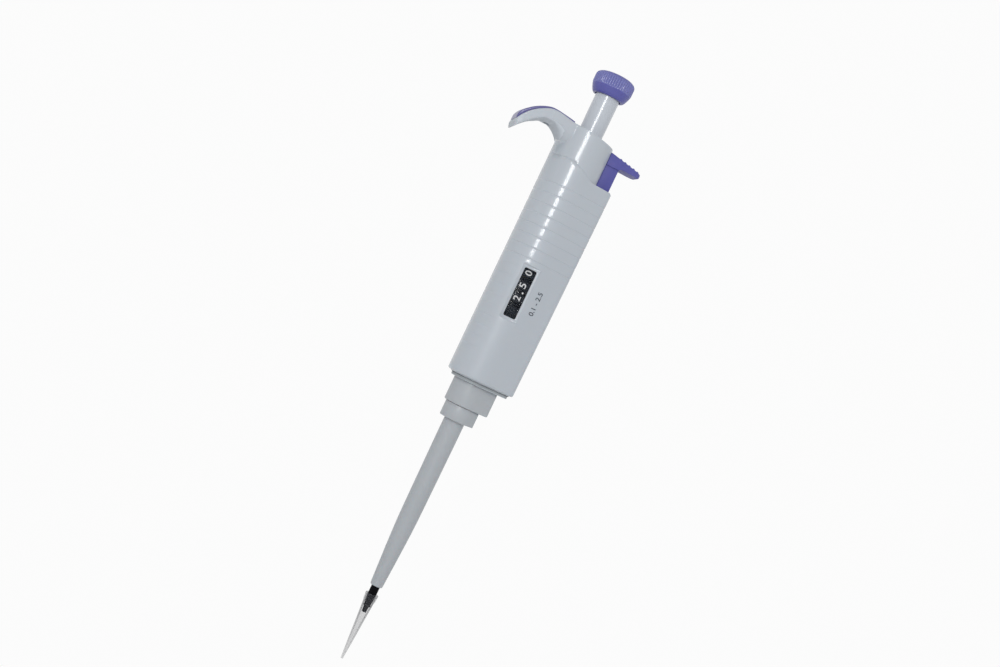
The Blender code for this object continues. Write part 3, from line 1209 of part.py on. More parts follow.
def build():
    """Clear the scene and make every piece under the empty of the body that carries it."""
    for old in list(bpy.data.objects):
        bpy.data.objects.remove(old)
    finish = make_materials()
    frame = empty("frame", None, FRAME_SHIFT)
    handle = empty("handle", frame)
    dial = empty("dial", frame)
    plunger = empty("plunger", dial)
    piston = empty("piston_carrier", frame)
    nut = empty("nut_carrier", frame)
    ejector = empty("ejector", frame)
    tip = empty("tip", frame)

    make_handle_body(finish["housing"], handle)
    make_hook_cap(finish["housing"], handle)
    make_hook_inlay(finish["purple_dark"], handle)
    make_display_window(finish["clear"], handle)
    make_handle_base(finish["housing"], handle)
    make_stem_guide(finish["inner"], handle)
    make_friction_ring(finish["rubber"], handle)
    make_coupling_nut(finish["brass"], handle)
    make_counter_base(finish["inner"], handle)
    make_counter_top_plate(finish["inner"], handle)
    make_carry_axle(finish["steel"], handle)
    make_nut_rail(finish["steel"], handle)
    make_tip_cone(finish["cone"], handle)
    make_cone_seal_ring(finish["rubber"], handle)
    make_seal_stack(finish, handle)
    spring_low = SHAFT_FLANGE_TOP + GAP
    spring("blowout_spring", BLOWOUT_SPRING_RADIUS, BLOWOUT_SPRING_WIRE, spring_low,
           spring_low + BLOWOUT_SPRING_LENGTH, BLOWOUT_SPRING_TURNS, finish["spring"], handle)
    make_blowout_washer(finish["steel"], handle)

    make_number_wheel("hundredths_wheel", 3, SPINDLE_HUB_RADIUS + PRESS_CLEARANCE, finish["black"], dial)
    make_volume_spindle(finish["brass"], dial)
    make_calibration_nut(finish["steel"], dial)
    wheel_bore = COUNTER_SLEEVE_RADIUS + RUNNING_CLEARANCE
    for order, name in enumerate(("tens", "units", "tenths")):
        wheel = empty(f"{name}_wheel_carrier", frame)
        make_number_wheel(f"{name}_wheel", order, wheel_bore, finish["black"], wheel)
        pinion = empty(f"{name}_pinion_carrier", frame)
        make_carry_pinion(f"{name}_carry_pinion", order, finish["inner"], pinion)
    make_volume_nut(finish["brass"], nut)

    make_push_button(finish["purple"], plunger)
    make_plunger_stem(finish["stem"], plunger)
    make_control_rod(finish["steel"], plunger)
    make_retaining_clip(finish["spring"], plunger)

    make_piston_head(finish["inner"], piston)
    make_piston(finish["steel"], piston)
    spring("main_spring", MAIN_SPRING_RADIUS, MAIN_SPRING_WIRE, spring_low, PISTON_HEAD_BOTTOM - GAP,
           MAIN_SPRING_TURNS, finish["spring"], handle)

    make_ejector_button(finish["purple"], ejector)
    make_ejector_rod(finish["steel"], ejector)
    make_ejector_arm(finish["sleeve"], ejector)
    make_ejector_sleeve(finish["sleeve"], ejector)
    spring_low = COUNTER_TOP_Z + COUNTER_PLATE + GAP
    spring("ejector_spring", EJECTOR_SPRING_RADIUS, EJECTOR_SPRING_WIRE, spring_low,
           EJECTOR_STEM_BOTTOM - GAP, EJECTOR_SPRING_TURNS, finish["spring"], handle, EJECTOR_SPRING_X)

    make_disposable_tip(finish["tip"], tip)


build()
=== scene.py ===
from math import acos, atan, atan2, cos, hypot, pi, radians, sin, sqrt, tau

import bmesh
import bpy
from mathutils import Matrix, Vector


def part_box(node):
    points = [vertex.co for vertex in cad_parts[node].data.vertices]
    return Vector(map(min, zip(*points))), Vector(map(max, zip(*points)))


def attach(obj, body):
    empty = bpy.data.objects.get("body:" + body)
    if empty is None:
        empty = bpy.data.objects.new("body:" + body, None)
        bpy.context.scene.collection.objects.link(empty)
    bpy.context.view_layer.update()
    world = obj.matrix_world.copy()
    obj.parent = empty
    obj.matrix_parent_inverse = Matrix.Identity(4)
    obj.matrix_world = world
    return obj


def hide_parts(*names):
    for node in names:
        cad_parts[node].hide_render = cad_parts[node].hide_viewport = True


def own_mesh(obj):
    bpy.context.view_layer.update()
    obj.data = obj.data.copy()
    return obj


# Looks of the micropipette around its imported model. Lengths are metres, written as millimetres times MM.
# Heights are measured up from the tip's open end along the plunger axis, as in the model's own drawing,
# and HOOK_SEAT carries them to the frame, whose origin is the seat under the hook.

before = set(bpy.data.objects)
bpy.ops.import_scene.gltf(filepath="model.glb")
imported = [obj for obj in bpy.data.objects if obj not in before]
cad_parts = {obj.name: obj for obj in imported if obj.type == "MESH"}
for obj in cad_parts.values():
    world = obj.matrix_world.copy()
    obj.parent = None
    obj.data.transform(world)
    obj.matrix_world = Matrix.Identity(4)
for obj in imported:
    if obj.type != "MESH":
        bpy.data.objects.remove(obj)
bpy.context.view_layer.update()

MM = 0.001
GAP = 0.3 * MM
CUT_MARGIN = 1.0 * MM
FINE_EDGE = 0.12 * MM
SOFT_EDGE = 0.15 * MM
HOOK_SEAT = Vector((-20.5 * MM, 0.0, 253.9 * MM))
UP = Vector((0.0, 0.0, 1.0))
FINE = 96
BARREL_STEPS = 72
CORNER_STEPS = 8
SIDE_STEPS = 6
SLICE_STEP = 1.5 * MM

# The photograph's view
LENS = 50.0
SENSOR = 36.0
CAMERA_DISTANCE = 0.6173
CAMERA_AZIMUTH = radians(-10.0)
CAMERA_ROLL = radians(25.4)
CAMERA_AIM_Z = 160.4 * MM
CAMERA_AIM_SIDE = 1.7 * MM

# The camera's level right, and the way from the object back to it
RIGHT = Vector((cos(CAMERA_AZIMUTH), sin(CAMERA_AZIMUTH), 0.0))
BACK = Vector((sin(CAMERA_AZIMUTH), -cos(CAMERA_AZIMUTH), 0.0))

# Lamps: name, then back, right and up from the lit point, how far above it they aim, their width and height,
# all in metres, then the power in watts and whether the gloss mirrors the lamp
LAMPS = (
    ("strip", 0.75, -0.08, 0.147, 0.03, 0.18, 0.22, 1.9, True),
    ("left_panel", 0.5, -1.0, 0.4, 0.0, 1.1, 1.1, 2.5, False),
    ("right_panel", 0.6, 1.0, 0.35, 0.0, 1.1, 1.1, 2.7, False),
)
LIT_Z = 200.0 * MM

# Floor, world and finishes
FLOOR_Z = -0.34
FLOOR_HALF = 3.0
WHITE = (1.0, 1.0, 1.0, 1.0)
BACKDROP_STRENGTH = 0.97
WORLD_STRENGTH = 0.42
COAT_ROUGHNESS = 0.12
GRAIN_DEPTH = 0.05 * MM
SUBSURFACE_DEPTH = 1.0 * MM
LATHE_LINES = 0.12
LATHE_DEPTH = 0.02 * MM

# Handle
BARREL_RADIUS = 12.9 * MM
CLEAR_SIDE = 2 * BARREL_RADIUS
HANDLE_WALL = 1.3 * MM
HANDLE_END_TOP = 19.25 * MM
HANDLE_END_BOTTOM = 18.1 * MM
HANDLE_END_HALF = 8.0 * MM
HANDLE_CORNER = 2.5 * MM
HANDLE_BOTTOM = 137.0 * MM
HANDLE_EDGE = 1.0 * MM
SHOULDER_Z = 237.1 * MM
SHOULDER_CHAMFER = 0.9 * MM
SHOULDER_CHAMFER_RUN = 1.44 * MM
SHOULDER_FLOOR = 2.0 * MM
SEAM_HIGH_Z = 242.2 * MM
SEAM_BREAK_X = -3.0 * MM
SEAM_FOOT_X = 8.2 * MM
SEAM_GAP = 0.04 * MM
NECK_BORE = 10.5 * MM
GROOVE_COUNT = 8
SIDE_GROOVE_COUNT = 9
GROOVE_FIRST_Z = 195.2 * MM
GROOVE_PITCH = 4.95 * MM
GROOVE_HALF = 0.5 * MM
GROOVE_DEPTH = 0.15 * MM
SIDE_GROOVE_DEPTH = 0.05 * MM
SIDE_GROOVE_START_X = -4.0 * MM
SIDE_GROOVE_FULL_X = -9.0 * MM
HANDLE_EDGE_STEPS = 6

# Across a groove: offset and depth, as shares of GROOVE_HALF and of the groove's depth
GROOVE_SECTION = (
    (-1.0, 0.0), (-0.75, 0.1), (-0.5, 0.4), (-0.25, 0.85), (0.0, 1.0),
    (0.25, 0.85), (0.5, 0.4), (0.75, 0.1), (1.0, 0.0),
)

# Where the seam bends down and where it ends, as x and z in millimetres from SEAM_BREAK_X and SEAM_FOOT_X
SEAM_BEND = ((-1.0, 0.0), (0.0, -0.12), (1.0, -0.5))
SEAM_FOOT = ((-0.8, 0.4), (0.4, 0.0))

# Number window and figures
WINDOW_WIDTH = 5.8 * MM
WINDOW_LENGTH = 22.9 * MM
WINDOW_CENTRE_Z = 179.95 * MM
WINDOW_CORNER = 0.7 * MM
WINDOW_THICKNESS = 1.1 * MM
WINDOW_SINK = 0.2 * MM
PANE_GAP = 0.1 * MM
BEZEL_HALF_WIDTH = 4.1 * MM
BEZEL_LENGTH = 25.6 * MM
BEZEL_STEP = 0.18 * MM
BEZEL_CORNER = 0.5 * MM
WHEEL_RADIUS = 10.0 * MM
WHEEL_PITCH = 6.0 * MM
WHEEL_STACK_OFFSET = 0.65 * MM
SPACER_RADIUS = 9.7 * MM
SPACER_BORE = 8.2 * MM
SPACER_HALF = 0.1 * MM
SPACER_SPAN = (radians(-150), radians(-30))
SPACER_STEPS = 40
FIGURE_HEIGHT = 3.15 * MM
FIGURE_WIDTH = 2.15 * MM
FIGURE_STEP = 0.2 * MM
FIGURE_BOLDNESS = 0.012
FIGURE_DEPTH = 0.05
FIGURE_PROUD = 0.03 * MM
FIGURE_SINK = 0.1 * MM
NARROW_ONE = 0.55
DOT_X = 1.25 * MM
DOT_RADIUS = 0.42 * MM
DOT_FLATNESS = 0.25
DOT_GAP = 0.05 * MM
DOT_PITCHES = 1.48
LABEL_HEIGHT = 2.45 * MM
LABEL_X = 8.6 * MM
LABEL_Z = 178.6 * MM
LABEL_DEPTH = 0.02
LABEL_PROUD = 0.04 * MM
LABEL_SINK = 0.1 * MM

# Hook cap
CAP_FACE_X = 10.95 * MM
NECK_FACE_X = CAP_FACE_X - 2 * HANDLE_WALL
CAP_TOP_Z = 256.3 * MM
CAP_TOP_SLOPE = 0.13
CAP_ROOF = 3.7 * MM
CAP_EDGE = 0.3 * MM
STEM_BORE = 5.95 * MM
HOOK_TOP_CORNER = 0.5 * MM
HOOK_CORNER_STEPS = 12
HOOK_SIDE_STEPS = 8
HOOK_TOP_STEPS = 4
HOOK_STATION_STEPS = 6

# Stations of the hook, in millimetres: top edge x and z, underside x and z, half width, lower corners' radius
HOOK_STATIONS = (
    (-6.0, 257.0, -6.0, 244.6, 9.8, 9.0),
    (-10.0, 257.6, -10.6, 245.6, 9.8, 8.0),
    (-12.6, 258.0, -13.3, 249.6, 9.8, 5.0),
    (-15.6, 258.5, -15.6, 252.2, 9.8, 2.6),
    (-19.0, 258.85, -18.6, 253.9, 9.8, 0.9),
    (-22.0, 258.5, -22.2, 253.9, 9.75, 0.7),
    (-25.2, 257.1, -24.6, 252.7, 9.6, 0.7),
    (-28.2, 255.2, -27.1, 251.2, 9.4, 0.7),
    (-30.7, 253.0, -29.4, 249.1, 9.1, 0.7),
    (-32.6, 250.6, -31.5, 246.9, 8.8, 0.7),
    (-33.9, 248.4, -32.9, 245.2, 8.4, 0.6),
    (-34.3, 247.1, -33.6, 244.8, 7.6, 0.5),
)

# Where the hook's underside turns matte and is painted lighter as painted light, what counts as its
# underside, and where its sides turn less glossy, their colour painted a little lighter for the sheen that
# they lose
HOOK_PAINTED_LIGHT_X = -12.5 * MM
HOOK_PAINTED_LIGHT_NORMAL = -0.35
HOOK_PAINTED_SHEEN_X = -20.0 * MM

# Shallow slot in the hook's underside
HOOK_SLOT_X = (-20.5 * MM, -17.8 * MM)
HOOK_SLOT_Y = (4.0 * MM, 8.0 * MM)
HOOK_SLOT_DEPTH = 0.9 * MM

# Crowned inlay on the hook: its first station, and its height at each one, in millimetres
INLAY_FIRST = 1
INLAY_RISES = (0.75, 0.8, 0.68, 0.7, 1.0, 1.35, 1.6, 1.75, 1.85, 0.4)
INLAY_SETBACK = 0.8 * MM
INLAY_SINK = 0.05 * MM

# Half of the inlay's section, from its side to its crown, as shares of its half width and its height
INLAY_HALF_SECTION = (
    (1.0, 0.0), (1.0, 0.62), (0.99, 0.72), (0.96, 0.8), (0.89, 0.86), (0.76, 0.9), (0.6, 0.94),
    (0.42, 0.97), (0.2, 0.99), (0.0, 1.0),
)

# Button and stem
BUTTON_BOTTOM = 275.4 * MM
BUTTON_FOOT_RADIUS = 7.0 * MM
BUTTON_CONE_TOP = 278.8 * MM
BUTTON_CONE_RADIUS = 8.95 * MM
BUTTON_CONE_BULGE = 0.6
BUTTON_BULGE_HEIGHT = 1.6 * MM
BUTTON_RADIUS = 9.3 * MM
BUTTON_KNURL_TOP = 283.3 * MM
BUTTON_TOP = 285.7 * MM
BUTTON_FLAT_RADIUS = 5.5 * MM
BUTTON_SOCKET_RADIUS = 6.2 * MM
BUTTON_SOCKET_DEPTH = 3.9 * MM
KNURL_COUNT = 48
KNURL_DEPTH = 0.3 * MM
KNURL_POINTS = 6
BUTTON_CONE_STEPS = 12
BUTTON_CONE_SPREAD = 1.6
BUTTON_FOOT_EDGE = 0.25 * MM
STEM_TOP_RADIUS = 5.65 * MM
STEM_BOTTOM_RADIUS = 5.45 * MM
STEM_EDGE = 0.3 * MM
STEM_SOCKET_RADIUS = 1.9 * MM
STEM_SOCKET_DEPTH = 6.0 * MM

# Depth of the knurl as a share, by share of the bulge's height and by degrees round the dome
BULGE_KNURL = ((0.1, 0.0), (0.3, 0.3), (0.55, 0.85), (0.8, 1.0), (1.0, 1.0))
DOME_KNURL = (
    (0, 1.0), (10, 1.0), (20, 0.8), (28, 0.4), (36, 0.1),
    (44, 0.0), (56, 0.0), (70, 0.0), (80, 0.0), (90, 0.0),
)

# The band round the button that is painted paler as a highlight, where its ribs face the light from above:
# its foot as a share of the bulge, its top as a share of the dome
HIGHLIGHT_BAND_FOOT = 0.2
HIGHLIGHT_BAND_TOP = 0.5

# Base flange, arm collar and sleeve
FLANGE_RADIUS = 10.4 * MM
FLANGE_END_X = 16.2 * MM
FLANGE_END_HALF = 6.2 * MM
FLANGE_BOTTOM = 135.2 * MM
FLANGE_TOP = HANDLE_BOTTOM - 0.31 * MM
FLANGE_EDGE = 0.3 * MM
FLANGE_SKIN = 0.02 * MM
FLANGE_WALL = 1.2 * MM
# A dark ring painted as the shadow in the gap between handle and flange
SHADOW_GAP_REACH = 0.35 * MM
SHADOW_GAP_DROP = 0.6 * MM
SHADOW_GAP_EDGE = 0.1 * MM
SHADOW_GAP_SEAT = 0.04 * MM
ARM_RADIUS = 8.5 * MM
ARM_END_X = 12.0 * MM
ARM_END_HALF = 4.6 * MM
ARM_CORNER = 1.5 * MM
ARM_TOP = 135.12 * MM
ARM_BOTTOM = 124.1 * MM
ARM_BORE = 7.4 * MM
ARM_LOW_EDGE = 0.45 * MM
ARM_TOP_EDGE = 0.15 * MM
ARM_EDGE_STEPS = 5
ARM_SLOT_X = (8.9 * MM, 10.9 * MM)
ARM_SLOT_HALF = 3.3 * MM
ARM_SLOT_FLOOR = 2.6 * MM
SLEEVE_COLLAR_RADIUS = 7.4 * MM
SLEEVE_COLLAR_END_X = 8.3 * MM
SLEEVE_COLLAR_HALF = 3.4 * MM
SLEEVE_COLLAR_TOP = 124.02 * MM
SLEEVE_COLLAR_BOTTOM = 117.0 * MM
SLEEVE_BOTTOM = 35.6 * MM
SLEEVE_WALL = 0.65 * MM
SLEEVE_EDGE = 0.3 * MM
SLEEVE_MOUTH_LIP = 0.35 * MM
SLEEVE_LUG_SINK = 0.05 * MM
SLEEVE_LUG_CORNER = 1.0 * MM

# Outer radius of the ejector sleeve by height, in millimetres
SLEEVE_PROFILE = (
    (36.5, 2.93), (50.0, 3.65), (60.0, 4.12), (72.0, 4.47), (110.0, 4.8),
)

# Ejector button
EJECTOR_STEM_X = 11.25 * MM
EJECTOR_FACE_X = 17.65 * MM
EJECTOR_STEM_HALF = 5.0 * MM
EJECTOR_PADDLE_HALF = 6.0 * MM
EJECTOR_STEM_BOTTOM = 226.0 * MM
PADDLE_UNDER_Z = 248.9 * MM
PADDLE_TOP_Z = 253.8 * MM
PADDLE_END_X = 28.0 * MM
PADDLE_END_Z = 250.6 * MM
PADDLE_TIP_RADIUS = 1.05 * MM
PADDLE_CORNER = 4.2 * MM
PADDLE_FILLET = 1.0 * MM
PADDLE_SKIRT = 0.8 * MM
PADDLE_EDGE = 0.3 * MM
RIDGE_COUNT = 5
RIDGE_PITCH = 2.3 * MM
RIDGE_FIRST_X = 16.5 * MM
RIDGE_HEIGHT = 0.35 * MM
RIDGE_WIDTH = 1.3 * MM
RIDGE_STEPS = 8

# Disposable tip: outer and inner radius by height, in millimetres
TIP_PROFILE = (
    (0.0, 0.5, 0.2), (10.0, 1.25, 0.82), (20.0, 1.92, 1.45), (25.0, 2.32, 1.95), (27.5, 2.5, 2.12),
)

# The tip's rim from its outside to its bore, and the outline of one rib: radius and height, in millimetres
TIP_RIM = ((2.65, 30.35), (2.92, 30.5), (3.0, 30.65), (3.0, 31.45), (2.88, 31.6), (2.5, 31.6), (2.4, 31.45))
TIP_RIB = ((2.35, 27.8), (2.7, 28.0), (2.95, 28.9), (2.95, 30.8), (2.58, 30.8))
TIP_RIB_COUNT = 8
TIP_RIB_HALF = 0.25 * MM

# Springs: node, x of the middle, radii of the coil and the wire, turns, joint and its travel
SPRINGS = (
    ("main_spring", 0.0, 4.3 * MM, 0.35 * MM, 8.5, "piston_slide", 14.7 * MM),
    ("ejector_spring", 12.95 * MM, 1.7 * MM, 0.3 * MM, 8.5, "ejector_press", 10.0 * MM),
)
CLOSED_COIL = 2.3
COIL_STEPS = 36

WINDOW_FLAT_Y = -sqrt(BARREL_RADIUS ** 2 - BEZEL_HALF_WIDTH ** 2)


# Node helpers

def srgb(colour):
    """A display colour from 0 to 255 as linear values."""
    shares = [level / 255.0 for level in colour]
    linear = [share / 12.92 if share <= 0.04045 else ((share + 0.055) / 1.055) ** 2.4 for share in shares]
    return (*linear, 1.0)


def node_material(name):
    """An empty node material with its Principled shader."""
    made = bpy.data.materials.new(name)
    made.use_nodes = True
    nodes = made.node_tree.nodes
    return made, nodes, made.node_tree.links, nodes["Principled BSDF"]


def noise(nodes, links, scale, detail, stretch=(1.0, 1.0, 1.0)):
    """Noise on object coordinates, which are metres in the row frame."""
    where = nodes.new("ShaderNodeTexCoord")
    spread = nodes.new("ShaderNodeMapping")
    spread.inputs["Scale"].default_value = stretch
    made = nodes.new("ShaderNodeTexNoise")
    made.inputs["Scale"].default_value = scale
    made.inputs["Detail"].default_value = detail
    links.new(where.outputs["Object"], spread.inputs["Vector"])
    links.new(spread.outputs["Vector"], made.inputs["Vector"])
    return made.outputs["Fac"]


def span(nodes, links, source, low, high, start=0.3, end=0.7):
    """Map a value between start and end to a range."""
    made = nodes.new("ShaderNodeMapRange")
    made.inputs["From Min"].default_value = start
    made.inputs["From Max"].default_value = end
    made.inputs["To Min"].default_value = low
    made.inputs["To Max"].default_value = high
    links.new(source, made.inputs["Value"])
    return made.outputs["Result"]


def tint(nodes, links, source, colour, darker, lighter):
    """Let a colour drift with a noise value, by so many levels each way."""
    made = nodes.new("ShaderNodeValToRGB")
    for stop, position, shift in zip(made.color_ramp.elements, (0.35, 0.65), (-darker, lighter)):
        stop.position = position
        stop.color = srgb(level + shift for level in colour)
    links.new(source, made.inputs["Fac"])
    return made.outputs["Color"]


def bump(nodes, links, source, strength, distance):
    """A bump from a height value."""
    made = nodes.new("ShaderNodeBump")
    made.inputs["Strength"].default_value = strength
    made.inputs["Distance"].default_value = distance
    links.new(source, made.inputs["Height"])
    return made.outputs["Normal"]


def moulded(name, colour, spread, roughness, grain, coat=0.0, subsurface=0.0, shine=0.5):
    """Moulded plastic: faint colour drift, fine grain and uneven gloss."""
    made, nodes, links, shader = node_material(name)
    drift = noise(nodes, links, 60.0, 3.0, (1.0, 1.0, 0.4))
    links.new(tint(nodes, links, drift, colour, spread, spread), shader.inputs["Base Color"])
    gloss = noise(nodes, links, 900.0, 4.0)
    links.new(span(nodes, links, gloss, roughness - 0.02, roughness + 0.02), shader.inputs["Roughness"])
    fine = noise(nodes, links, 5200.0, 3.0)
    links.new(bump(nodes, links, fine, grain, GRAIN_DEPTH), shader.inputs["Normal"])
    shader.inputs["Specular IOR Level"].default_value = shine
    shader.inputs["Coat Weight"].default_value = coat
    shader.inputs["Coat Roughness"].default_value = COAT_ROUGHNESS
    shader.inputs["Subsurface Weight"].default_value = subsurface
    shader.inputs["Subsurface Scale"].default_value = SUBSURFACE_DEPTH
    return made


def metal(name, colour, roughness):
    """Turned metal with fine rings along its axis."""
    made, nodes, links, shader = node_material(name)
    rings = noise(nodes, links, 700.0, 4.0, (0.05, 0.05, 8.0))
    links.new(tint(nodes, links, rings, colour, 8, 6), shader.inputs["Base Color"])
    links.new(span(nodes, links, rings, roughness - 0.06, roughness + 0.08), shader.inputs["Roughness"])
    links.new(bump(nodes, links, rings, LATHE_LINES, LATHE_DEPTH), shader.inputs["Normal"])
    shader.inputs["Metallic"].default_value = 1.0
    return made


def clear_plastic(name, colour, roughness, cover, edge_cover):
    """Clear or milky plastic with faint flow marks, denser where its wall is seen edge on."""
    made, nodes, links, shader = node_material(name)
    haze = noise(nodes, links, 500.0, 2.0, (1.0, 1.0, 0.3))
    links.new(tint(nodes, links, haze, colour, 4, 0), shader.inputs["Base Color"])
    links.new(span(nodes, links, haze, roughness, roughness + 0.05), shader.inputs["Roughness"])
    edge = nodes.new("ShaderNodeLayerWeight")
    edge.inputs["Blend"].default_value = 0.5
    density = span(nodes, links, edge.outputs["Facing"], cover, edge_cover, 0.25, 0.75)
    links.new(density, shader.inputs["Alpha"])
    return made


housing_plastic = moulded("housing_plastic", (177, 184, 192), 1, 0.4, 0.008, 0.7, 0.05)
# Painted light: lighter than the housing, so that the hook's shaded underside renders lighter; its lower
# gloss is a finish
housing_matte_painted_light = moulded("housing_matte_painted_light", (195, 202, 210), 2, 0.55, 0.02, shine=0.4)
# Less glossy hook sides, their colour painted a little lighter to make up for the sheen that they lose
housing_soft_painted_sheen = moulded("housing_soft_painted_sheen", (181, 188, 196), 1, 0.5, 0.008, 0.1, 0.05, 0.4)
# Painted shade: the flange is darker than the housing because it lies in shadow under the handle
flange_painted_shade = moulded("flange_painted_shade", (152, 158, 162), 2, 0.5, 0.02)
# Painted shade: the colour of the dark ring that stands in for the shadow in the gap between handle and
# flange
shadow_gap_paint = moulded("shadow_gap_paint", (98, 102, 108), 3, 0.6, 0.05)
sleeve_plastic = moulded("sleeve_plastic", (170, 175, 180), 1, 0.42, 0.01, 0.08, 0.05)
stem_plastic = moulded("stem_plastic", (186, 192, 200), 1, 0.36, 0.004, 0.75)
button_plastic = moulded("button_plastic", (82, 83, 158), 3, 0.45, 0.02, 0.15, 0.03)
# Painted highlight: a paler purple for the button's ribbed band, which faces the light from above
band_painted_highlight = moulded("band_painted_highlight", (104, 107, 170), 4, 0.45, 0.02, 0.3, 0.03)
ejector_plastic = moulded("ejector_plastic", (92, 92, 160), 3, 0.5, 0.02, 0.0, 0.03, 0.2)
inlay_plastic = moulded("inlay_plastic", (82, 80, 138), 3, 0.36, 0.01, 0.25)
shaft_plastic = moulded("shaft_plastic", (12, 12, 15), 2, 0.5, 0.03, shine=0.04)
wheel_plastic = moulded("wheel_plastic", (50, 54, 60), 1, 0.8, 0.02, shine=0.0)
inner_plastic = moulded("inner_plastic", (224, 221, 212), 4, 0.45, 0.06, 0.0, 0.1)
figure_paint = moulded("figure_paint", (250, 251, 252), 2, 0.8, 0.01, shine=0.0)
label_paint = moulded("label_paint", (58, 62, 70), 4, 0.55, 0.02)
seal_rubber = moulded("seal_rubber", (26, 26, 27), 3, 0.65, 0.2)
bright_steel = metal("bright_steel", (196, 197, 200), 0.28)
spring_steel = metal("spring_steel", (168, 169, 172), 0.32)
turned_brass = metal("turned_brass", (206, 176, 108), 0.3)
window_clear = clear_plastic("window_clear", (58, 64, 74), 0.05, 0.08, 0.2)
tip_plastic = clear_plastic("tip_plastic", (106, 108, 114), 0.2, 0.13, 0.62)


# Shape helpers

def lofted(rings, closed=False):
    """Skin rings that have equal numbers of points, and cap the ends or join the last to the first."""
    bm = bmesh.new()
    loops = [[bm.verts.new(point) for point in one] for one in rings]
    pairs = list(zip(loops, loops[1:]))
    if closed:
        pairs.append((loops[-1], loops[0]))
    else:
        bm.faces.new(list(reversed(loops[0])))
        bm.faces.new(loops[-1])
    for low, high in pairs:
        for i in range(len(low)):
            bm.faces.new((low[i - 1], low[i], high[i], high[i - 1]))
    return bm


def ring(outline, height):
    """Lift a flat outline to one height."""
    return [(x, y, height) for x, y in outline]


def circle(radius, count=FINE):
    """Points around a circle about the middle."""
    turns = [tau * i / count for i in range(count)]
    return [(radius * cos(turn), radius * sin(turn)) for turn in turns]


def arc(centre, radius, start, end, steps):
    """Points along an arc, ends included."""
    angles = [start + (end - start) * i / steps for i in range(steps + 1)]
    return [(centre[0] + radius * cos(a), centre[1] + radius * sin(a)) for a in angles]


def prism(outline, low, high):
    """A straight block from a flat outline."""
    return lofted([ring(outline, low), ring(outline, high)])


def side_prism(outline, half):
    """A block from an outline in the XZ plane that runs to both sides of the middle."""
    return lofted([[(x, side, z) for x, z in outline] for side in (-half, half)])


def box(x_range, y_range, z_range):
    """A plain block between two values on each axis."""
    (x0, x1), (y0, y1) = x_range, y_range
    return prism([(x0, y0), (x1, y0), (x1, y1), (x0, y1)], *z_range)


def turned(profile, count=FINE, closed=False):
    """A body of revolution from (radius, height) points. A closed one ends with the points of its bore."""
    return lofted([ring(circle(radius, count), z) for radius, z in profile], closed)


def rounded_box(half_x, half_y, corner, steps=6):
    """A rectangle with round corners about the middle."""
    points = []
    for quarter in range(4):
        turn = quarter * pi / 2
        sign_x = 1 if quarter in (0, 3) else -1
        sign_y = 1 if quarter in (0, 1) else -1
        centre = (sign_x * (half_x - corner), sign_y * (half_y - corner))
        points += arc(centre, corner, turn, turn + pi / 2, steps)
    return points


def side_normal(radius, corner, corner_x, corner_y):
    """The angle that a straight side faces, between a barrel and the corner that it runs tangent to."""
    return atan2(corner_y, corner_x) + acos((radius - corner) / hypot(corner_x, corner_y))


def teardrop(radius, end, end_half, corner, inset):
    """A round barrel whose straight sides run tangent to the corners of a flat end at +X."""
    depth_at = inset if callable(inset) else lambda x: inset
    corner_x = end - corner
    corner_y = end_half - corner
    normal = side_normal(radius, corner, corner_x, corner_y)
    points = []

    def add(centre_x, centre_y, base, angle):
        depth = depth_at(centre_x + base * cos(angle))
        points.append((
            centre_x + (base - depth) * cos(angle), centre_y + (base - depth) * sin(angle),
        ))

    def add_side(sign, start, end_share):
        for i in range(1, SIDE_STEPS):
            share = start + (end_share - start) * i / SIDE_STEPS
            centre_x = corner_x * (1.0 - share)
            base = corner + (radius - corner) * share
            add(centre_x, sign * corner_y * (1.0 - share), base, sign * normal)

    for i in range(CORNER_STEPS + 1):
        add(corner_x, corner_y, corner, normal * i / CORNER_STEPS)
    add_side(1, 0.0, 1.0)
    for i in range(BARREL_STEPS + 1):
        add(0.0, 0.0, radius, normal + (tau - 2 * normal) * i / BARREL_STEPS)
    add_side(-1, 1.0, 0.0)
    for i in range(CORNER_STEPS + 1):
        add(corner_x, -corner_y, corner, tau - normal + normal * i / CORNER_STEPS)
    return points


def clipped_circle(radius, face_x):
    """A circle cut off by a flat at +X."""
    start = acos(face_x / radius)
    return arc((0.0, 0.0), radius, start, tau - start, FINE)


def smooth_path(points, steps):
    """Catmull-Rom points through a list of tuples, with the given points kept."""
    path = []
    last = len(points) - 1
    for i in range(last):
        before, start = points[max(i - 1, 0)], points[i]
        end, after = points[i + 1], points[min(i + 2, last)]
        for step in range(steps):
            t = step / steps
            path.append(tuple(
                0.5 * (2 * b + (c - a) * t + (2 * a - 5 * b + 4 * c - d) * t ** 2
                       + (3 * b - a - 3 * c + d) * t ** 3)
                for a, b, c, d in zip(before, start, end, after)
            ))
    path.append(points[-1])
    return path


def linked(name, data):
    """A new object in the scene."""
    made = bpy.data.objects.new(name, data)
    bpy.context.scene.collection.objects.link(made)
    return made


def shade(mesh, angle):
    """Smooth shading with sharp edges where faces meet at more than an angle in degrees."""
    mesh.shade_smooth()
    mesh.set_sharp_from_angle(angle=radians(angle))


def piece(name, bm, finish, smooth_angle=30.0):
    """Turn a bmesh drawn about the plunger axis into an object in the row frame."""
    bmesh.ops.recalc_face_normals(bm, faces=bm.faces)
    bmesh.ops.translate(bm, vec=-HOOK_SEAT, verts=bm.verts)
    mesh = bpy.data.meshes.new(name)
    bm.to_mesh(mesh)
    bm.free()
    mesh.materials.append(finish)
    shade(mesh, smooth_angle)
    return linked(name, mesh)


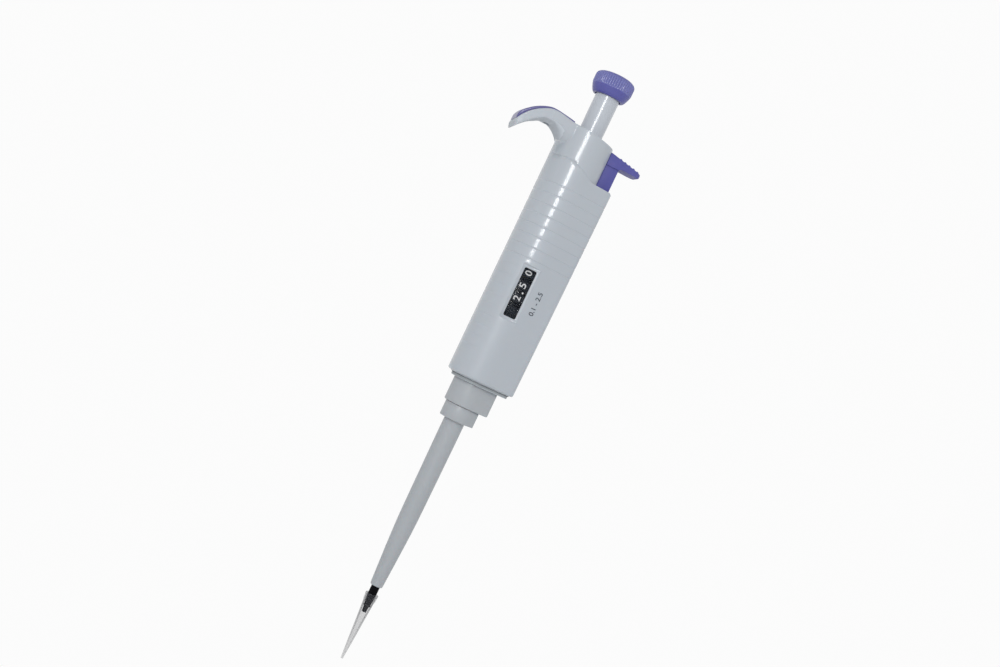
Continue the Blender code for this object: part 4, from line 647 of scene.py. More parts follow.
def settle(target, smooth_angle=30.0):
    """Keep what an object's modifiers make as its own mesh."""
    bpy.context.view_layer.update()
    graph = bpy.context.evaluated_depsgraph_get()
    made = bpy.data.meshes.new_from_object(target.evaluated_get(graph))
    target.modifiers.clear()
    old = target.data
    target.data = made
    bpy.data.meshes.remove(old)
    shade(made, smooth_angle)


def carve(target, tool_bm, operation="DIFFERENCE"):
    """Cut, join or trim an object with a shape, at once."""
    tool = piece(f"{target.name}_tool", tool_bm, target.data.materials[0])
    step = target.modifiers.new("carve", "BOOLEAN")
    step.operation = operation
    step.solver = "EXACT"
    step.object = tool
    settle(target)
    bpy.data.objects.remove(tool)


def soften(target, width, segments=3, angle=35.0):
    """Round the sharp edges of a finished shape."""
    step = target.modifiers.new("soften", "BEVEL")
    step.width = width
    step.segments = segments
    step.limit_method = "ANGLE"
    step.angle_limit = radians(angle)
    step.use_clamp_overlap = True
    step.harden_normals = True
    settle(target, 40.0)


def cut_across(bm, place, normal):
    """Divide the faces that a plane crosses."""
    everything = bm.verts[:] + bm.edges[:] + bm.faces[:]
    bmesh.ops.bisect_plane(bm, geom=everything, plane_co=place, plane_no=normal)


def slice_levels(target, low, high):
    """Cut long faces across at even heights, so that they shade as evenly as the barrel they follow."""
    bm = bmesh.new()
    bm.from_mesh(target.data)
    for i in range(1, int((high - low) / SLICE_STEP)):
        cut_across(bm, (0.0, 0.0, low + i * SLICE_STEP - HOOK_SEAT.z), UP)
    bm.to_mesh(target.data)
    bm.free()
    shade(target.data, 40.0)


def stand_for(made, body, slot, *nodes):
    """A finished piece rides its body and stands for the CAD nodes that it replaces."""
    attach(made, body)
    if nodes:
        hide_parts(*nodes)


# Handle

def handle_end_at(height):
    """The handle's flat end leans in a little towards the bottom."""
    share = (height - HANDLE_BOTTOM) / (SHOULDER_Z - HANDLE_BOTTOM)
    return HANDLE_END_BOTTOM + (HANDLE_END_TOP - HANDLE_END_BOTTOM) * min(share, 1.0)


def handle_outline(height, inset):
    """The handle's outer section at one height, moved inwards by a depth."""
    return teardrop(BARREL_RADIUS, handle_end_at(height), HANDLE_END_HALF, HANDLE_CORNER, inset)


def seam_line(lift=0.0):
    """The seam between handle and cap, from the hook side to its foot on the shoulder."""
    line = [(-CLEAR_SIDE, SEAM_HIGH_Z + lift)]
    line += [(SEAM_BREAK_X + x * MM, SEAM_HIGH_Z + lift + z * MM) for x, z in SEAM_BEND]
    line += [(SEAM_FOOT_X + x * MM, SHOULDER_Z + lift + z * MM) for x, z in SEAM_FOOT]
    return line


def side_groove_share(x):
    """Grooves below the window fade out away from the hook side."""
    share = (SIDE_GROOVE_START_X - x) / (SIDE_GROOVE_START_X - SIDE_GROOVE_FULL_X)
    share = min(max(share, 0.0), 1.0)
    return share * share * (3.0 - 2.0 * share)


def make_handle_body():
    """Ribbed shell with soft-edged grooves, the window and the ejector's slot."""
    levels = []
    for i in range(HANDLE_EDGE_STEPS + 1):
        turn = pi / 2 * i / HANDLE_EDGE_STEPS
        z = HANDLE_BOTTOM + HANDLE_EDGE * (1 - cos(turn))
        levels.append((z, HANDLE_EDGE * (1 - sin(turn)), False))
    for n in range(-SIDE_GROOVE_COUNT, GROOVE_COUNT):
        middle = GROOVE_FIRST_Z + n * GROOVE_PITCH
        full = SIDE_GROOVE_DEPTH if n < 0 else GROOVE_DEPTH
        for offset, share in GROOVE_SECTION:
            levels.append((middle + offset * GROOVE_HALF, share * full, n < 0))
    levels.append((SEAM_HIGH_Z + 5 * MM, 0.0, False))
    rings = []
    for z, depth, faded in levels:
        inset = (lambda x, depth=depth: depth * side_groove_share(x)) if faded else depth
        rings.append(ring(handle_outline(z, inset), z))
    shell = piece("handle_shell", lofted(rings), housing_plastic)

    top = SEAM_HIGH_Z + 10 * MM
    far = HANDLE_END_TOP + 5 * MM
    chamfer_x = HANDLE_END_TOP - SHOULDER_CHAMFER_RUN
    chamfer_z = SHOULDER_Z - SHOULDER_CHAMFER * (far - chamfer_x) / SHOULDER_CHAMFER_RUN
    above_seam = seam_line() + [(chamfer_x, SHOULDER_Z), (far, chamfer_z), (far, top), (-CLEAR_SIDE, top)]
    carve(shell, side_prism(above_seam, CLEAR_SIDE))
    ceiling = SHOULDER_Z - SHOULDER_FLOOR
    hollow = [ring(handle_outline(z, HANDLE_WALL), z) for z in (HANDLE_BOTTOM - CUT_MARGIN, ceiling)]
    carve(shell, lofted(hollow))
    carve(shell, prism(clipped_circle(NECK_BORE, NECK_FACE_X), ceiling - CUT_MARGIN, top))
    slot_y = EJECTOR_STEM_HALF + GAP
    slot_x = (EJECTOR_STEM_X - GAP, EJECTOR_FACE_X + GAP)
    carve(shell, box(slot_x, (-slot_y, slot_y), (ceiling - CUT_MARGIN, top)))

    bezel = rounded_box(BEZEL_HALF_WIDTH, BEZEL_LENGTH / 2, BEZEL_CORNER)
    carve(shell, window_block(bezel, -CLEAR_SIDE, WINDOW_FLAT_Y + BEZEL_STEP))
    carve(shell, window_block(window_outline(0.0), -CLEAR_SIDE, -WHEEL_RADIUS / 2))
    soften(shell, FINE_EDGE, 2)
    slice_levels(shell, HANDLE_BOTTOM + HANDLE_EDGE, SEAM_HIGH_Z)
    stand_for(shell, "handle", "housing", "handle_body")


def window_outline(shrink):
    """The window's opening, made smaller all round by an amount."""
    return rounded_box(WINDOW_WIDTH / 2 - shrink, WINDOW_LENGTH / 2 - shrink, WINDOW_CORNER)


def window_block(outline, outer_y, inner_y):
    """An outline about the window's middle, run through the wall from one y to another."""
    return lofted([[(x, y, WINDOW_CENTRE_Z + z) for x, z in outline] for y in (outer_y, inner_y)])


def make_window():
    """Clear pane with a rounded front edge."""
    outer_y = WINDOW_FLAT_Y + WINDOW_SINK
    block = window_block(window_outline(PANE_GAP), outer_y, outer_y + WINDOW_THICKNESS)
    pane = piece("window_pane", block, window_clear)
    soften(pane, SOFT_EDGE)
    stand_for(pane, "handle", "window", "display_window")


def hook_section(top, under, half, corner):
    """A section across the hook: rounded below, nearly square where the inlay lies."""
    through = Vector(top) - Vector(under)
    up, height = through.normalized(), through.length
    rise = height - HOOK_TOP_CORNER - corner
    flank = arc((half - corner, corner), corner, -pi / 2, 0.0, HOOK_CORNER_STEPS)
    flank += [(half, corner + rise * i / HOOK_SIDE_STEPS) for i in range(1, HOOK_SIDE_STEPS + 1)]
    top_corner = (half - HOOK_TOP_CORNER, height - HOOK_TOP_CORNER)
    flank += arc(top_corner, HOOK_TOP_CORNER, 0.0, pi / 2, HOOK_TOP_STEPS)[1:]
    section = flank + [(-across, along) for across, along in reversed(flank)]
    return [(under[0] + up.x * along, across, under[1] + up.y * along) for across, along in section]


def make_hook_cap():
    """Neck round the stem with the curved finger hook."""
    bottom = SHOULDER_Z - 5 * MM
    top = CAP_TOP_Z + 10 * MM
    far = CLEAR_SIDE
    block = prism(clipped_circle(BARREL_RADIUS, CAP_FACE_X), bottom, top)
    cap = piece("neck_and_hook", block, housing_plastic)
    low = bottom - CUT_MARGIN
    below_seam = seam_line(SEAM_GAP) + [(far, SHOULDER_Z + SEAM_GAP), (far, low), (-far, low)]
    carve(cap, side_prism(below_seam, far))
    roof_line = [
        (-far, CAP_TOP_Z + CAP_TOP_SLOPE * far),
        (CAP_FACE_X - CAP_EDGE, CAP_TOP_Z - CAP_TOP_SLOPE * (CAP_FACE_X - CAP_EDGE)),
        (CAP_FACE_X + CAP_EDGE, CAP_TOP_Z - CAP_TOP_SLOPE * CAP_FACE_X - 3 * CAP_EDGE),
        (far, CAP_TOP_Z - far), (far, top + far), (-far, top + far),
    ]
    carve(cap, side_prism(roof_line, far))
    sections = []
    for top_x, top_z, under_x, under_z, half, corner in smooth_path(HOOK_STATIONS, HOOK_STATION_STEPS):
        under = (under_x * MM, min(under_z * MM, HOOK_SEAT.z))
        sections.append(hook_section((top_x * MM, top_z * MM), under, half * MM, corner * MM))
    carve(cap, lofted(sections), "UNION")
    slot_z = (HOOK_SEAT.z - CUT_MARGIN, HOOK_SEAT.z + HOOK_SLOT_DEPTH)
    carve(cap, box(HOOK_SLOT_X, HOOK_SLOT_Y, slot_z))
    ceiling = CAP_TOP_Z - CAP_ROOF
    carve(cap, prism(clipped_circle(NECK_BORE, NECK_FACE_X), low - CUT_MARGIN, ceiling))
    carve(cap, prism(circle(STEM_BORE), ceiling - CUT_MARGIN, top))
    soften(cap, SOFT_EDGE, angle=50.0)
    slice_levels(cap, SHOULDER_Z, CAP_TOP_Z + 3 * MM)
    # Downward faces under the hook take the lighter grey as painted light, and the far sides a grey lifted a
    # little as painted sheen
    cap.data.materials.append(housing_matte_painted_light)
    cap.data.materials.append(housing_soft_painted_sheen)
    for face in cap.data.polygons:
        x = face.center.x + HOOK_SEAT.x
        if face.normal.z < HOOK_PAINTED_LIGHT_NORMAL and x < HOOK_PAINTED_LIGHT_X:
            face.material_index = 1
        elif x < HOOK_PAINTED_SHEEN_X:
            face.material_index = 2
    stand_for(cap, "handle", "housing", "hook_cap")


def make_inlay():
    """Crowned purple strip along the top of the hook that thickens towards its tip."""
    covered = HOOK_STATIONS[INLAY_FIRST:INLAY_FIRST + len(INLAY_RISES)]
    stations = [(x, z, half, rise) for (x, z, _, _, half, _), rise in zip(covered, INLAY_RISES)]
    path = smooth_path(stations, HOOK_STATION_STEPS)
    outline = INLAY_HALF_SECTION + tuple((-across, up) for across, up in reversed(INLAY_HALF_SECTION[:-1]))
    sections = []
    for i, (top_x, top_z, half, rise) in enumerate(path):
        top = Vector((top_x, top_z)) * MM
        before = Vector(path[max(i - 1, 0)][:2])
        after = Vector(path[min(i + 1, len(path) - 1)][:2])
        along = (after - before).normalized()
        out = Vector((along.y, -along.x))
        width = half * MM - INLAY_SETBACK
        section = []
        for across, up in outline:
            point = top + out * (rise * MM * up - INLAY_SINK)
            section.append((point.x, width * across, point.y))
        sections.append(section)
    strip = piece("hook_strip", lofted(sections), inlay_plastic, 50.0)
    soften(strip, FINE_EDGE, angle=50.0)
    stand_for(strip, "handle", "purple_gloss", "hook_inlay")


def make_flange():
    """Flange under the handle, over the carried-over base, painted darker as shade, with a dark ring painted
    above it as the shadow in the gap.
    """
    def flange(reach, inset, wider=0.0):
        return teardrop(
            FLANGE_RADIUS + reach, FLANGE_END_X + reach, FLANGE_END_HALF + wider, HANDLE_CORNER, inset,
        )

    levels = ((FLANGE_BOTTOM, FLANGE_EDGE), (FLANGE_BOTTOM + FLANGE_EDGE, 0.0), (FLANGE_TOP, 0.0))
    rings = [ring(flange(FLANGE_SKIN, inset), z) for z, inset in levels]
    inner = flange(0.0, FLANGE_WALL)
    rings += [ring(inner, FLANGE_TOP), ring(inner, FLANGE_BOTTOM)]
    # The flange takes the darker grey as painted shade
    edge = piece("base_flange_edge", lofted(rings, closed=True), flange_painted_shade)
    stand_for(edge, "handle", "housing")

    # A dark ring painted as the shadow in the gap under the handle's bottom edge
    def gasket(inset):
        reach = SHADOW_GAP_REACH - inset
        return flange(reach, 0.0, reach)

    low = HANDLE_BOTTOM - SHADOW_GAP_DROP
    outer, inner = gasket(0.0), flange(0.0, -SHADOW_GAP_SEAT)
    rings = [ring(gasket(SHADOW_GAP_EDGE), low), ring(outer, low + SHADOW_GAP_EDGE), ring(outer, FLANGE_TOP)]
    rings += [ring(inner, FLANGE_TOP), ring(inner, low)]
    shadow_gap_ring = piece("base_shadow_gap", lofted(rings, closed=True), shadow_gap_paint)
    stand_for(shadow_gap_ring, "handle", "seal_rubber")


# Plunger

def make_button():
    """Knurled button with a soft domed shoulder, its ribbed band painted paler as a highlight."""
    count = KNURL_COUNT * KNURL_POINTS
    dome_rise = BUTTON_TOP - BUTTON_KNURL_TOP
    dome_run = BUTTON_RADIUS - BUTTON_FLAT_RADIUS

    def wavy(radius, z, depth):
        points = []
        for i in range(count):
            angle = tau * i / count
            wave = 0.5 - 0.5 * cos(KNURL_COUNT * angle)
            reach = radius - depth * wave ** 2
            points.append((reach * cos(angle), reach * sin(angle), z))
        return points

    foot_rise = BUTTON_CONE_TOP - BUTTON_BOTTOM
    foot_run = BUTTON_CONE_RADIUS - BUTTON_FOOT_RADIUS
    rings = [wavy(BUTTON_FOOT_RADIUS - BUTTON_FOOT_EDGE, BUTTON_BOTTOM, 0.0)]
    for i in range(1, BUTTON_CONE_STEPS + 1):
        share = (i / BUTTON_CONE_STEPS) ** BUTTON_CONE_SPREAD
        rings.append(wavy(BUTTON_FOOT_RADIUS + foot_run * share ** BUTTON_CONE_BULGE,
                          BUTTON_BOTTOM + foot_rise * share, 0.0))
    bulge = BUTTON_RADIUS - BUTTON_CONE_RADIUS
    for share, depth in BULGE_KNURL:
        rings.append(wavy(BUTTON_CONE_RADIUS + bulge * sin(pi / 2 * share),
                          BUTTON_CONE_TOP + BUTTON_BULGE_HEIGHT * share, KNURL_DEPTH * depth))
    for degrees, depth in DOME_KNURL:
        turn = radians(degrees)
        radius = BUTTON_FLAT_RADIUS + dome_run * cos(turn)
        rings.append(wavy(radius, BUTTON_KNURL_TOP + dome_rise * sin(turn), KNURL_DEPTH * depth))
    rings.append(wavy(BUTTON_FLAT_RADIUS * 0.5, BUTTON_TOP, 0.0))
    rings.append(wavy(0.05 * MM, BUTTON_TOP, 0.0))
    button = piece("thumb_button", lofted(rings), button_plastic, 40.0)
    socket_top = BUTTON_BOTTOM + BUTTON_SOCKET_DEPTH
    carve(button, prism(circle(BUTTON_SOCKET_RADIUS), BUTTON_BOTTOM - CUT_MARGIN, socket_top))
    settle(button, 40.0)
    # The ribbed band takes the paler purple as a painted highlight
    button.data.materials.append(band_painted_highlight)
    highlight_band_low = BUTTON_CONE_TOP + HIGHLIGHT_BAND_FOOT * BUTTON_BULGE_HEIGHT - HOOK_SEAT.z
    highlight_band_high = BUTTON_KNURL_TOP + HIGHLIGHT_BAND_TOP * dome_rise - HOOK_SEAT.z
    for face in button.data.polygons:
        if highlight_band_low < face.center.z < highlight_band_high:
            face.material_index = 1
    stand_for(button, "plunger", "purple", "push_button")


def make_stem():
    """Smooth grey stem."""
    node_low, node_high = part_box("plunger_stem")
    low = node_low[2] + HOOK_SEAT.z
    high = node_high[2] + HOOK_SEAT.z
    outer = [
        (STEM_BOTTOM_RADIUS - STEM_EDGE, low), (STEM_BOTTOM_RADIUS, low + STEM_EDGE),
        (STEM_TOP_RADIUS, BUTTON_BOTTOM), (STEM_TOP_RADIUS, high),
    ]
    stem = piece("stem_skin", turned(outer), stem_plastic)
    carve(stem, prism(circle(STEM_SOCKET_RADIUS, 32), low - CUT_MARGIN, low + STEM_SOCKET_DEPTH))
    stand_for(stem, "plunger", "stem", "plunger_stem")


# Ejector

def make_paddle():
    """Purple ejector button with a ridged thumb paddle."""
    slope = (PADDLE_TOP_Z - PADDLE_END_Z) / (PADDLE_END_X - EJECTOR_STEM_X)
    tip_x = PADDLE_END_X - PADDLE_TIP_RADIUS
    tip_z = PADDLE_END_Z - PADDLE_TIP_RADIUS + slope * PADDLE_TIP_RADIUS
    points = [(EJECTOR_STEM_X, EJECTOR_STEM_BOTTOM), (EJECTOR_FACE_X, EJECTOR_STEM_BOTTOM)]
    turn = (EJECTOR_FACE_X + PADDLE_FILLET, PADDLE_UNDER_Z - PADDLE_FILLET)
    points += arc(turn, PADDLE_FILLET, pi, pi / 2, 8)
    points += arc((tip_x, tip_z), PADDLE_TIP_RADIUS, -pi / 2, pi / 2 - atan(slope), 14)
    ridges = []
    for i in range(RIDGE_COUNT):
        x = RIDGE_FIRST_X + i * RIDGE_PITCH
        for step in range(RIDGE_STEPS + 1):
            share = step / RIDGE_STEPS
            offset = (share - 0.5) * RIDGE_WIDTH
            lift = RIDGE_HEIGHT * sin(pi * share)
            ridges.append((x + offset, PADDLE_TOP_Z - slope * (x + offset - EJECTOR_STEM_X) + lift))
    points += reversed([point for point in ridges if point[0] < tip_x])
    points.append((EJECTOR_STEM_X, PADDLE_TOP_Z))
    paddle = piece("ejector_paddle", side_prism(points, EJECTOR_PADDLE_HALF), ejector_plastic)
    low = EJECTOR_STEM_BOTTOM - CUT_MARGIN
    waist = PADDLE_UNDER_Z - PADDLE_SKIRT
    x_range = (EJECTOR_STEM_X - CUT_MARGIN, EJECTOR_FACE_X + 4 * PADDLE_FILLET)
    for side in (-1, 1):
        y_range = sorted((side * EJECTOR_STEM_HALF, side * 2 * EJECTOR_PADDLE_HALF))
        carve(paddle, box(x_range, y_range, (low, waist)))
    reach = PADDLE_END_X - EJECTOR_STEM_X
    plan = [
        (EJECTOR_STEM_X + reach / 2 + x - PADDLE_CORNER, y)
        for x, y in rounded_box(reach / 2 + PADDLE_CORNER, EJECTOR_PADDLE_HALF, PADDLE_CORNER, 10)
    ]
    carve(paddle, prism(plan, low - CUT_MARGIN, PADDLE_TOP_Z + 5 * MM), "INTERSECT")
    soften(paddle, PADDLE_EDGE, angle=50.0)
    stand_for(paddle, "ejector", "purple", "ejector_button")


def make_arm():
    """Collar below the handle, with rounded edges."""
    def outline(inset):
        return teardrop(ARM_RADIUS, ARM_END_X, ARM_END_HALF, ARM_CORNER, inset)

    turns = [pi / 2 * i / ARM_EDGE_STEPS for i in range(ARM_EDGE_STEPS + 1)]
    shares = [(1 - cos(turn), 1 - sin(turn)) for turn in turns]
    levels = [(ARM_BOTTOM + ARM_LOW_EDGE * up, ARM_LOW_EDGE * inward) for up, inward in shares]
    levels += [(ARM_TOP - ARM_TOP_EDGE * down, ARM_TOP_EDGE * inward) for down, inward in reversed(shares)]
    arm = piece("arm_collar", lofted([ring(outline(inset), z) for z, inset in levels]), sleeve_plastic)
    top = ARM_TOP + CUT_MARGIN
    carve(arm, prism(circle(ARM_BORE), ARM_BOTTOM - CUT_MARGIN, top))
    carve(arm, box(ARM_SLOT_X, (-ARM_SLOT_HALF, ARM_SLOT_HALF), (ARM_BOTTOM + ARM_SLOT_FLOOR, top)))
    stand_for(arm, "ejector", "sleeve", "ejector_arm")


def make_sleeve():
    """Long tapered sleeve with its collar."""
    taper = [(radius * MM, z * MM) for z, radius in smooth_path(SLEEVE_PROFILE, 8)]
    neck = SLEEVE_PROFILE[-1][1] * MM
    mouth = taper[0][0]
    edge = SLEEVE_EDGE

    def edged(low, high):
        """Heights and insets of a block whose two ends have rounded edges."""
        return [(low, edge), (low + 0.3 * edge, 0.3 * edge), (low + edge, 0.0),
                (high - edge, 0.0), (high - 0.3 * edge, 0.3 * edge), (high, edge)]

    outer = [(mouth - SLEEVE_MOUTH_LIP, SLEEVE_BOTTOM), (mouth - FINE_EDGE, SLEEVE_BOTTOM + FINE_EDGE)]
    outer += taper + [(neck, SLEEVE_COLLAR_BOTTOM - edge), (neck + edge, SLEEVE_COLLAR_BOTTOM)]
    levels = edged(SLEEVE_COLLAR_BOTTOM, SLEEVE_COLLAR_TOP)
    outer += [(SLEEVE_COLLAR_RADIUS - inset, z) for z, inset in levels]
    sleeve = piece("sleeve_tube", turned(outer), sleeve_plastic)

    def lug(inset):
        radius = SLEEVE_COLLAR_RADIUS - SLEEVE_LUG_SINK
        return teardrop(radius, SLEEVE_COLLAR_END_X, SLEEVE_COLLAR_HALF, SLEEVE_LUG_CORNER, inset)

    levels = edged(SLEEVE_COLLAR_BOTTOM + SLEEVE_LUG_SINK, SLEEVE_COLLAR_TOP - SLEEVE_LUG_SINK)
    carve(sleeve, lofted([ring(lug(inset), z) for z, inset in levels]), "UNION")
    bore = [(mouth - SLEEVE_WALL, SLEEVE_BOTTOM - CUT_MARGIN)]
    bore += [(radius - SLEEVE_WALL, z) for radius, z in taper]
    bore.append((neck - SLEEVE_WALL, SLEEVE_COLLAR_TOP + CUT_MARGIN))
    carve(sleeve, turned(bore))
    stand_for(sleeve, "ejector", "sleeve", "ejector_sleeve")


# Shaft and tip

def make_tip():
    """Thin translucent tip with a ribbed collar."""
    path = smooth_path(TIP_PROFILE, 4)
    outer = [(radius * MM, z * MM) for z, radius, _ in path]
    inner = [(radius * MM, z * MM) for z, _, radius in path]
    rim = [(radius * MM, z * MM) for radius, z in TIP_RIM]
    tip = piece("clear_tip", turned(outer + rim + inner[::-1], 64, closed=True), tip_plastic, 40.0)
    rib = [(radius * MM, z * MM) for radius, z in TIP_RIB]
    for i in range(TIP_RIB_COUNT):
        bm = side_prism(rib, TIP_RIB_HALF)
        turn = Matrix.Rotation(tau * (i + 0.5) / TIP_RIB_COUNT, 4, "Z")
        bmesh.ops.transform(bm, matrix=turn, verts=bm.verts)
        carve(tip, bm, "UNION")
    settle(tip, 40.0)
    stand_for(tip, "tip", "tip", "disposable_tip")


# Springs

def make_spring(node, centre_x, radius, wire, turns, joint, travel):
    """Compression spring with a closed coil at each end, drawn at its node's length."""
    node_low, node_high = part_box(node)
    low = node_low[2] + HOOK_SEAT.z + wire
    rise = node_high[2] - node_low[2] - 2 * wire
    closed_rise = CLOSED_COIL * wire
    steps = int(turns * COIL_STEPS)
    sections = []
    for i in range(steps + 1):
        turn = turns * i / steps
        if turn < 1.0:
            height = closed_rise * turn
        elif turn > turns - 1.0:
            height = rise - closed_rise * (turns - turn)
        else:
            height = closed_rise + (rise - 2 * closed_rise) * (turn - 1.0) / (turns - 2.0)
        angle = tau * turn
        out = Vector((cos(angle), sin(angle), 0.0))
        centre = out * radius + Vector((centre_x, 0.0, low + height))
        sections.append([centre + out * x + Vector((0.0, 0.0, z)) for x, z in circle(wire, 10)])
    made = piece(f"{node}_coil", lofted(sections), spring_steel, 60.0)
    stand_for(made, "handle", "steel", node)
    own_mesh(made)


# Figures

def text_mesh(name, words, finish, depth):
    """Raised text as a mesh, centred on its own origin."""
    curve = bpy.data.curves.new(name, "FONT")
    curve.body = words
    curve.size = 1.0
    curve.align_x = "CENTER"
    curve.align_y = "CENTER"
    curve.resolution_u = 6
    curve.offset = FIGURE_BOLDNESS
    curve.extrude = depth
    made = linked(name, curve)
    bpy.context.view_layer.update()
    graph = bpy.context.evaluated_depsgraph_get()
    mesh = bpy.data.meshes.new_from_object(made.evaluated_get(graph))
    bpy.data.objects.remove(made)
    xs = [vert.co.x for vert in mesh.vertices]
    ys = [vert.co.y for vert in mesh.vertices]
    middle = Vector(((min(xs) + max(xs)) / 2, (min(ys) + max(ys)) / 2, 0.0))
    for vert in mesh.vertices:
        vert.co -= middle
    mesh.materials.clear()
    mesh.materials.append(finish)
    return mesh, max(xs) - min(xs), max(ys) - min(ys)


def wrap_on_wheel(mesh, wide, tall, height, width, angle, z):
    """Bend a figure onto a wheel's rim, its top turned towards the hook."""
    bm = bmesh.new()
    bm.from_mesh(mesh)
    bmesh.ops.triangulate(bm, faces=bm.faces)
    steps = round(height / FIGURE_STEP)
    for i in range(1, steps):
        cut_across(bm, (0.0, tall * (i / steps - 0.5), 0.0), (0.0, 1.0, 0.0))
    for vert in bm.verts:
        across = vert.co.y / tall * height
        along = vert.co.x / wide * width
        radius = WHEEL_RADIUS + (FIGURE_PROUD if vert.co.z > 0 else -FIGURE_SINK)
        turn = angle - across / WHEEL_RADIUS
        vert.co = Vector((radius * cos(turn), radius * sin(turn), z + along)) - HOOK_SEAT
    bm.to_mesh(mesh)
    bm.free()


def make_figures():
    """The counter's figures. The volume shown is 2.50, under a blank tens wheel."""
    stack_low = WINDOW_CENTRE_Z + WHEEL_STACK_OFFSET - 1.5 * WHEEL_PITCH
    wheels = (
        ("units_wheel", "units_wheel", 1, 2),
        ("tenths_wheel", "tenths_wheel", 2, 5),
        ("hundredths_wheel", "dial", 3, 0),
    )
    for node, body, order, shown in wheels:
        z = stack_low + order * WHEEL_PITCH
        for step in range(10):
            figure = (shown - step) % 10
            angle = -pi / 2 + tau * step / 10
            name = f"{node}_figure_{figure}"
            mesh, wide, tall = text_mesh(name, str(figure), figure_paint, FIGURE_DEPTH)
            width = FIGURE_WIDTH * (NARROW_ONE if figure == 1 else 1.0)
            wrap_on_wheel(mesh, wide, tall, FIGURE_HEIGHT, width, angle, z)
            stand_for(linked(name, mesh), body, "housing")
    bm = bmesh.new()
    bmesh.ops.create_uvsphere(bm, u_segments=20, v_segments=12, radius=DOT_RADIUS)
    bmesh.ops.scale(bm, vec=(1.0, DOT_FLATNESS, 1.0), verts=bm.verts)
    dot_y = WINDOW_FLAT_Y + WINDOW_SINK + WINDOW_THICKNESS + DOT_GAP
    dot_z = stack_low + DOT_PITCHES * WHEEL_PITCH
    bmesh.ops.translate(bm, vec=(DOT_X, dot_y, dot_z), verts=bm.verts)
    stand_for(piece("decimal_point", bm, figure_paint), "handle", "housing")


def make_spacers():
    """Thin dark arcs in the gaps between the number wheels, on the window's side."""
    section = (
        (SPACER_RADIUS, -SPACER_HALF), (SPACER_RADIUS, SPACER_HALF),
        (SPACER_BORE, SPACER_HALF), (SPACER_BORE, -SPACER_HALF),
    )
    stack_low = WINDOW_CENTRE_Z + WHEEL_STACK_OFFSET - 2 * WHEEL_PITCH
    for i in range(1, 4):
        z = stack_low + i * WHEEL_PITCH
        rings = [
            [(x * radius, y * radius, z + lift) for radius, lift in section]
            for x, y in arc((0.0, 0.0), 1.0, *SPACER_SPAN, SPACER_STEPS)
        ]
        stand_for(piece(f"wheel_spacer_{i}", lofted(rings), wheel_plastic), "handle", "black_plastic")


def make_range_label():
    """Plain figures for the volume range, printed on the handle's flat side."""
    mesh, _, tall = text_mesh("range_figures", "0.1 - 2.5", label_paint, LABEL_DEPTH)
    corner_x = handle_end_at(LABEL_Z) - HANDLE_CORNER
    normal = side_normal(BARREL_RADIUS, HANDLE_CORNER, corner_x, HANDLE_END_HALF - HANDLE_CORNER)
    out = Vector((cos(-normal), sin(-normal), 0.0))
    side = Vector((-out.y, out.x, 0.0))
    start = out * BARREL_RADIUS
    middle = start + side * ((LABEL_X - start.x) / side.x)
    size = LABEL_HEIGHT / tall
    for vert in mesh.vertices:
        point = middle - side * (vert.co.y * size) + UP * (vert.co.x * size)
        point += out * (LABEL_PROUD if vert.co.z > 0 else -LABEL_SINK)
        point.z += LABEL_Z
        vert.co = point - HOOK_SEAT
    stand_for(linked("range_figures", mesh), "handle", "housing")


# Finishes of the pieces that stay as the model has them

def finish_inner_nodes():
    """Give every carried-over node its node material."""
    groups = (
        (housing_plastic, "handle_base"),
        (inner_plastic, "stem_guide", "piston_seal", "piston_head"),
        (seal_rubber, "friction_ring", "cone_seal_ring", "seal_ring"),
        (turned_brass, "coupling_nut", "seal_retainer", "volume_spindle", "volume_nut"),
        (bright_steel, "carry_axle", "nut_rail", "blowout_washer", "calibration_nut", "control_rod", "piston",
         "ejector_rod"),
        (spring_steel, "blowout_spring", "retaining_clip"),
        (shaft_plastic, "tip_cone"),
        (wheel_plastic, "counter_base", "counter_top_plate", "hundredths_wheel", "tenths_wheel",
         "units_wheel", "tens_wheel", "tenths_carry_pinion", "units_carry_pinion", "tens_carry_pinion"),
    )
    for finish, *names in groups:
        for name in names:
            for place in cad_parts[name].material_slots:
                place.material = finish


# Stage

def seen_directly(nodes, links):
    """1 where the camera, a reflection or clear plastic shows the backdrop, 0 for the light that it gives."""
    rays = nodes.new("ShaderNodeLightPath")
    seen = rays.outputs["Is Camera Ray"]
    for kind in ("Is Glossy Ray", "Is Transmission Ray"):
        either = nodes.new("ShaderNodeMath")
        either.operation = "MAXIMUM"
        links.new(seen, either.inputs[0])
        links.new(rays.outputs[kind], either.inputs[1])
        seen = either.outputs["Value"]
    return seen


def show_backdrop(nodes, links, lit, kind, output):
    """Light the object with one shader, and show an even white one where the backdrop is seen."""
    plain = nodes.new(kind)
    plain.inputs["Color"].default_value = WHITE
    plain.inputs["Strength"].default_value = BACKDROP_STRENGTH
    mix = nodes.new("ShaderNodeMixShader")
    links.new(seen_directly(nodes, links), mix.inputs["Fac"])
    links.new(lit.outputs[0], mix.inputs[1])
    links.new(plain.outputs[0], mix.inputs[2])
    links.new(mix.outputs["Shader"], nodes[output].inputs["Surface"])


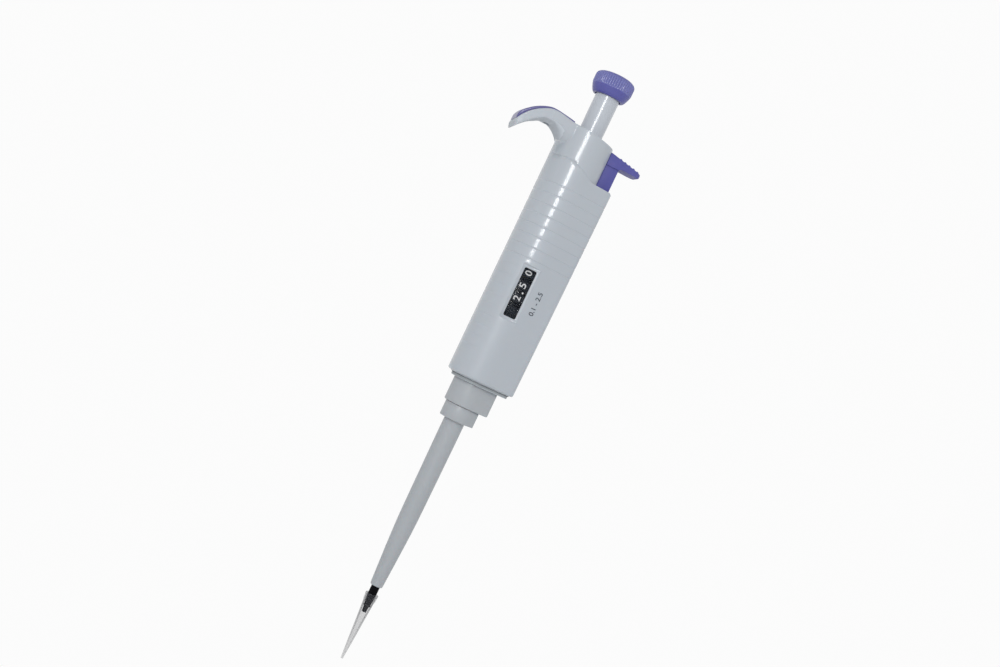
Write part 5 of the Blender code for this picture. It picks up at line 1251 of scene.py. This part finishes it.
def make_stage():
    """Pale floor and surroundings, far enough away that the pipette casts only a soft shadow."""
    made, nodes, links, shader = node_material("stage_white")
    shader.inputs["Base Color"].default_value = (0.9, 0.9, 0.9, 1.0)
    shader.inputs["Roughness"].default_value = 0.9
    show_backdrop(nodes, links, shader, "ShaderNodeEmission", "Material Output")

    bm = bmesh.new()
    bmesh.ops.create_grid(bm, x_segments=1, y_segments=1, size=FLOOR_HALF)
    bmesh.ops.translate(bm, vec=(0.0, 0.0, FLOOR_Z), verts=bm.verts)
    mesh = bpy.data.meshes.new("floor")
    bm.to_mesh(mesh)
    bm.free()
    mesh.materials.append(made)
    linked("floor", mesh)

    world = bpy.data.worlds.new("studio")
    world.use_nodes = True
    nodes, links = world.node_tree.nodes, world.node_tree.links
    back = nodes["Background"]
    back.inputs["Color"].default_value = WHITE
    back.inputs["Strength"].default_value = WORLD_STRENGTH
    show_backdrop(nodes, links, back, "ShaderNodeBackground", "World Output")
    bpy.context.scene.world = world


def make_lights():
    """A strip above the camera draws the bright line down the barrel; wide panels fill the rest."""
    middle = UP * LIT_Z - HOOK_SEAT
    for name, away, aside, above, aim, width, height, power, mirrored in LAMPS:
        lamp = bpy.data.lights.new(name, "AREA")
        lamp.shape = "RECTANGLE"
        lamp.size = width
        lamp.size_y = height
        lamp.energy = power
        made = linked(name, lamp)
        made.location = middle + BACK * away + RIGHT * aside + UP * above
        made.rotation_euler = (middle + UP * aim - made.location).to_track_quat("-Z", "Y").to_euler()
        made.visible_glossy = mirrored


def make_camera():
    """The photograph's viewpoint, rolled so that the pipette leans to the right."""
    x_axis = RIGHT * cos(CAMERA_ROLL) + UP * sin(CAMERA_ROLL)
    y_axis = UP * cos(CAMERA_ROLL) - RIGHT * sin(CAMERA_ROLL)
    place = UP * CAMERA_AIM_Z - HOOK_SEAT + RIGHT * CAMERA_AIM_SIDE + BACK * CAMERA_DISTANCE
    data = bpy.data.cameras.new("photo_view")
    data.lens = LENS
    data.sensor_width = SENSOR
    data.sensor_fit = "HORIZONTAL"
    data.clip_start = 0.01
    made = linked("photo_view", data)
    turn = Matrix((x_axis, y_axis, BACK)).transposed().to_4x4()
    made.matrix_world = Matrix.Translation(place) @ turn
    bpy.context.scene.camera = made


bpy.context.scene.view_settings.view_transform = "Standard"
for build in (
    make_camera, make_stage, make_lights, make_handle_body, make_window, make_hook_cap, make_inlay,
    make_flange, make_button, make_stem, make_paddle, make_arm, make_sleeve, make_tip, make_figures,
    make_spacers, make_range_label, finish_inner_nodes,
):
    build()
for spring in SPRINGS:
    make_spring(*spring)
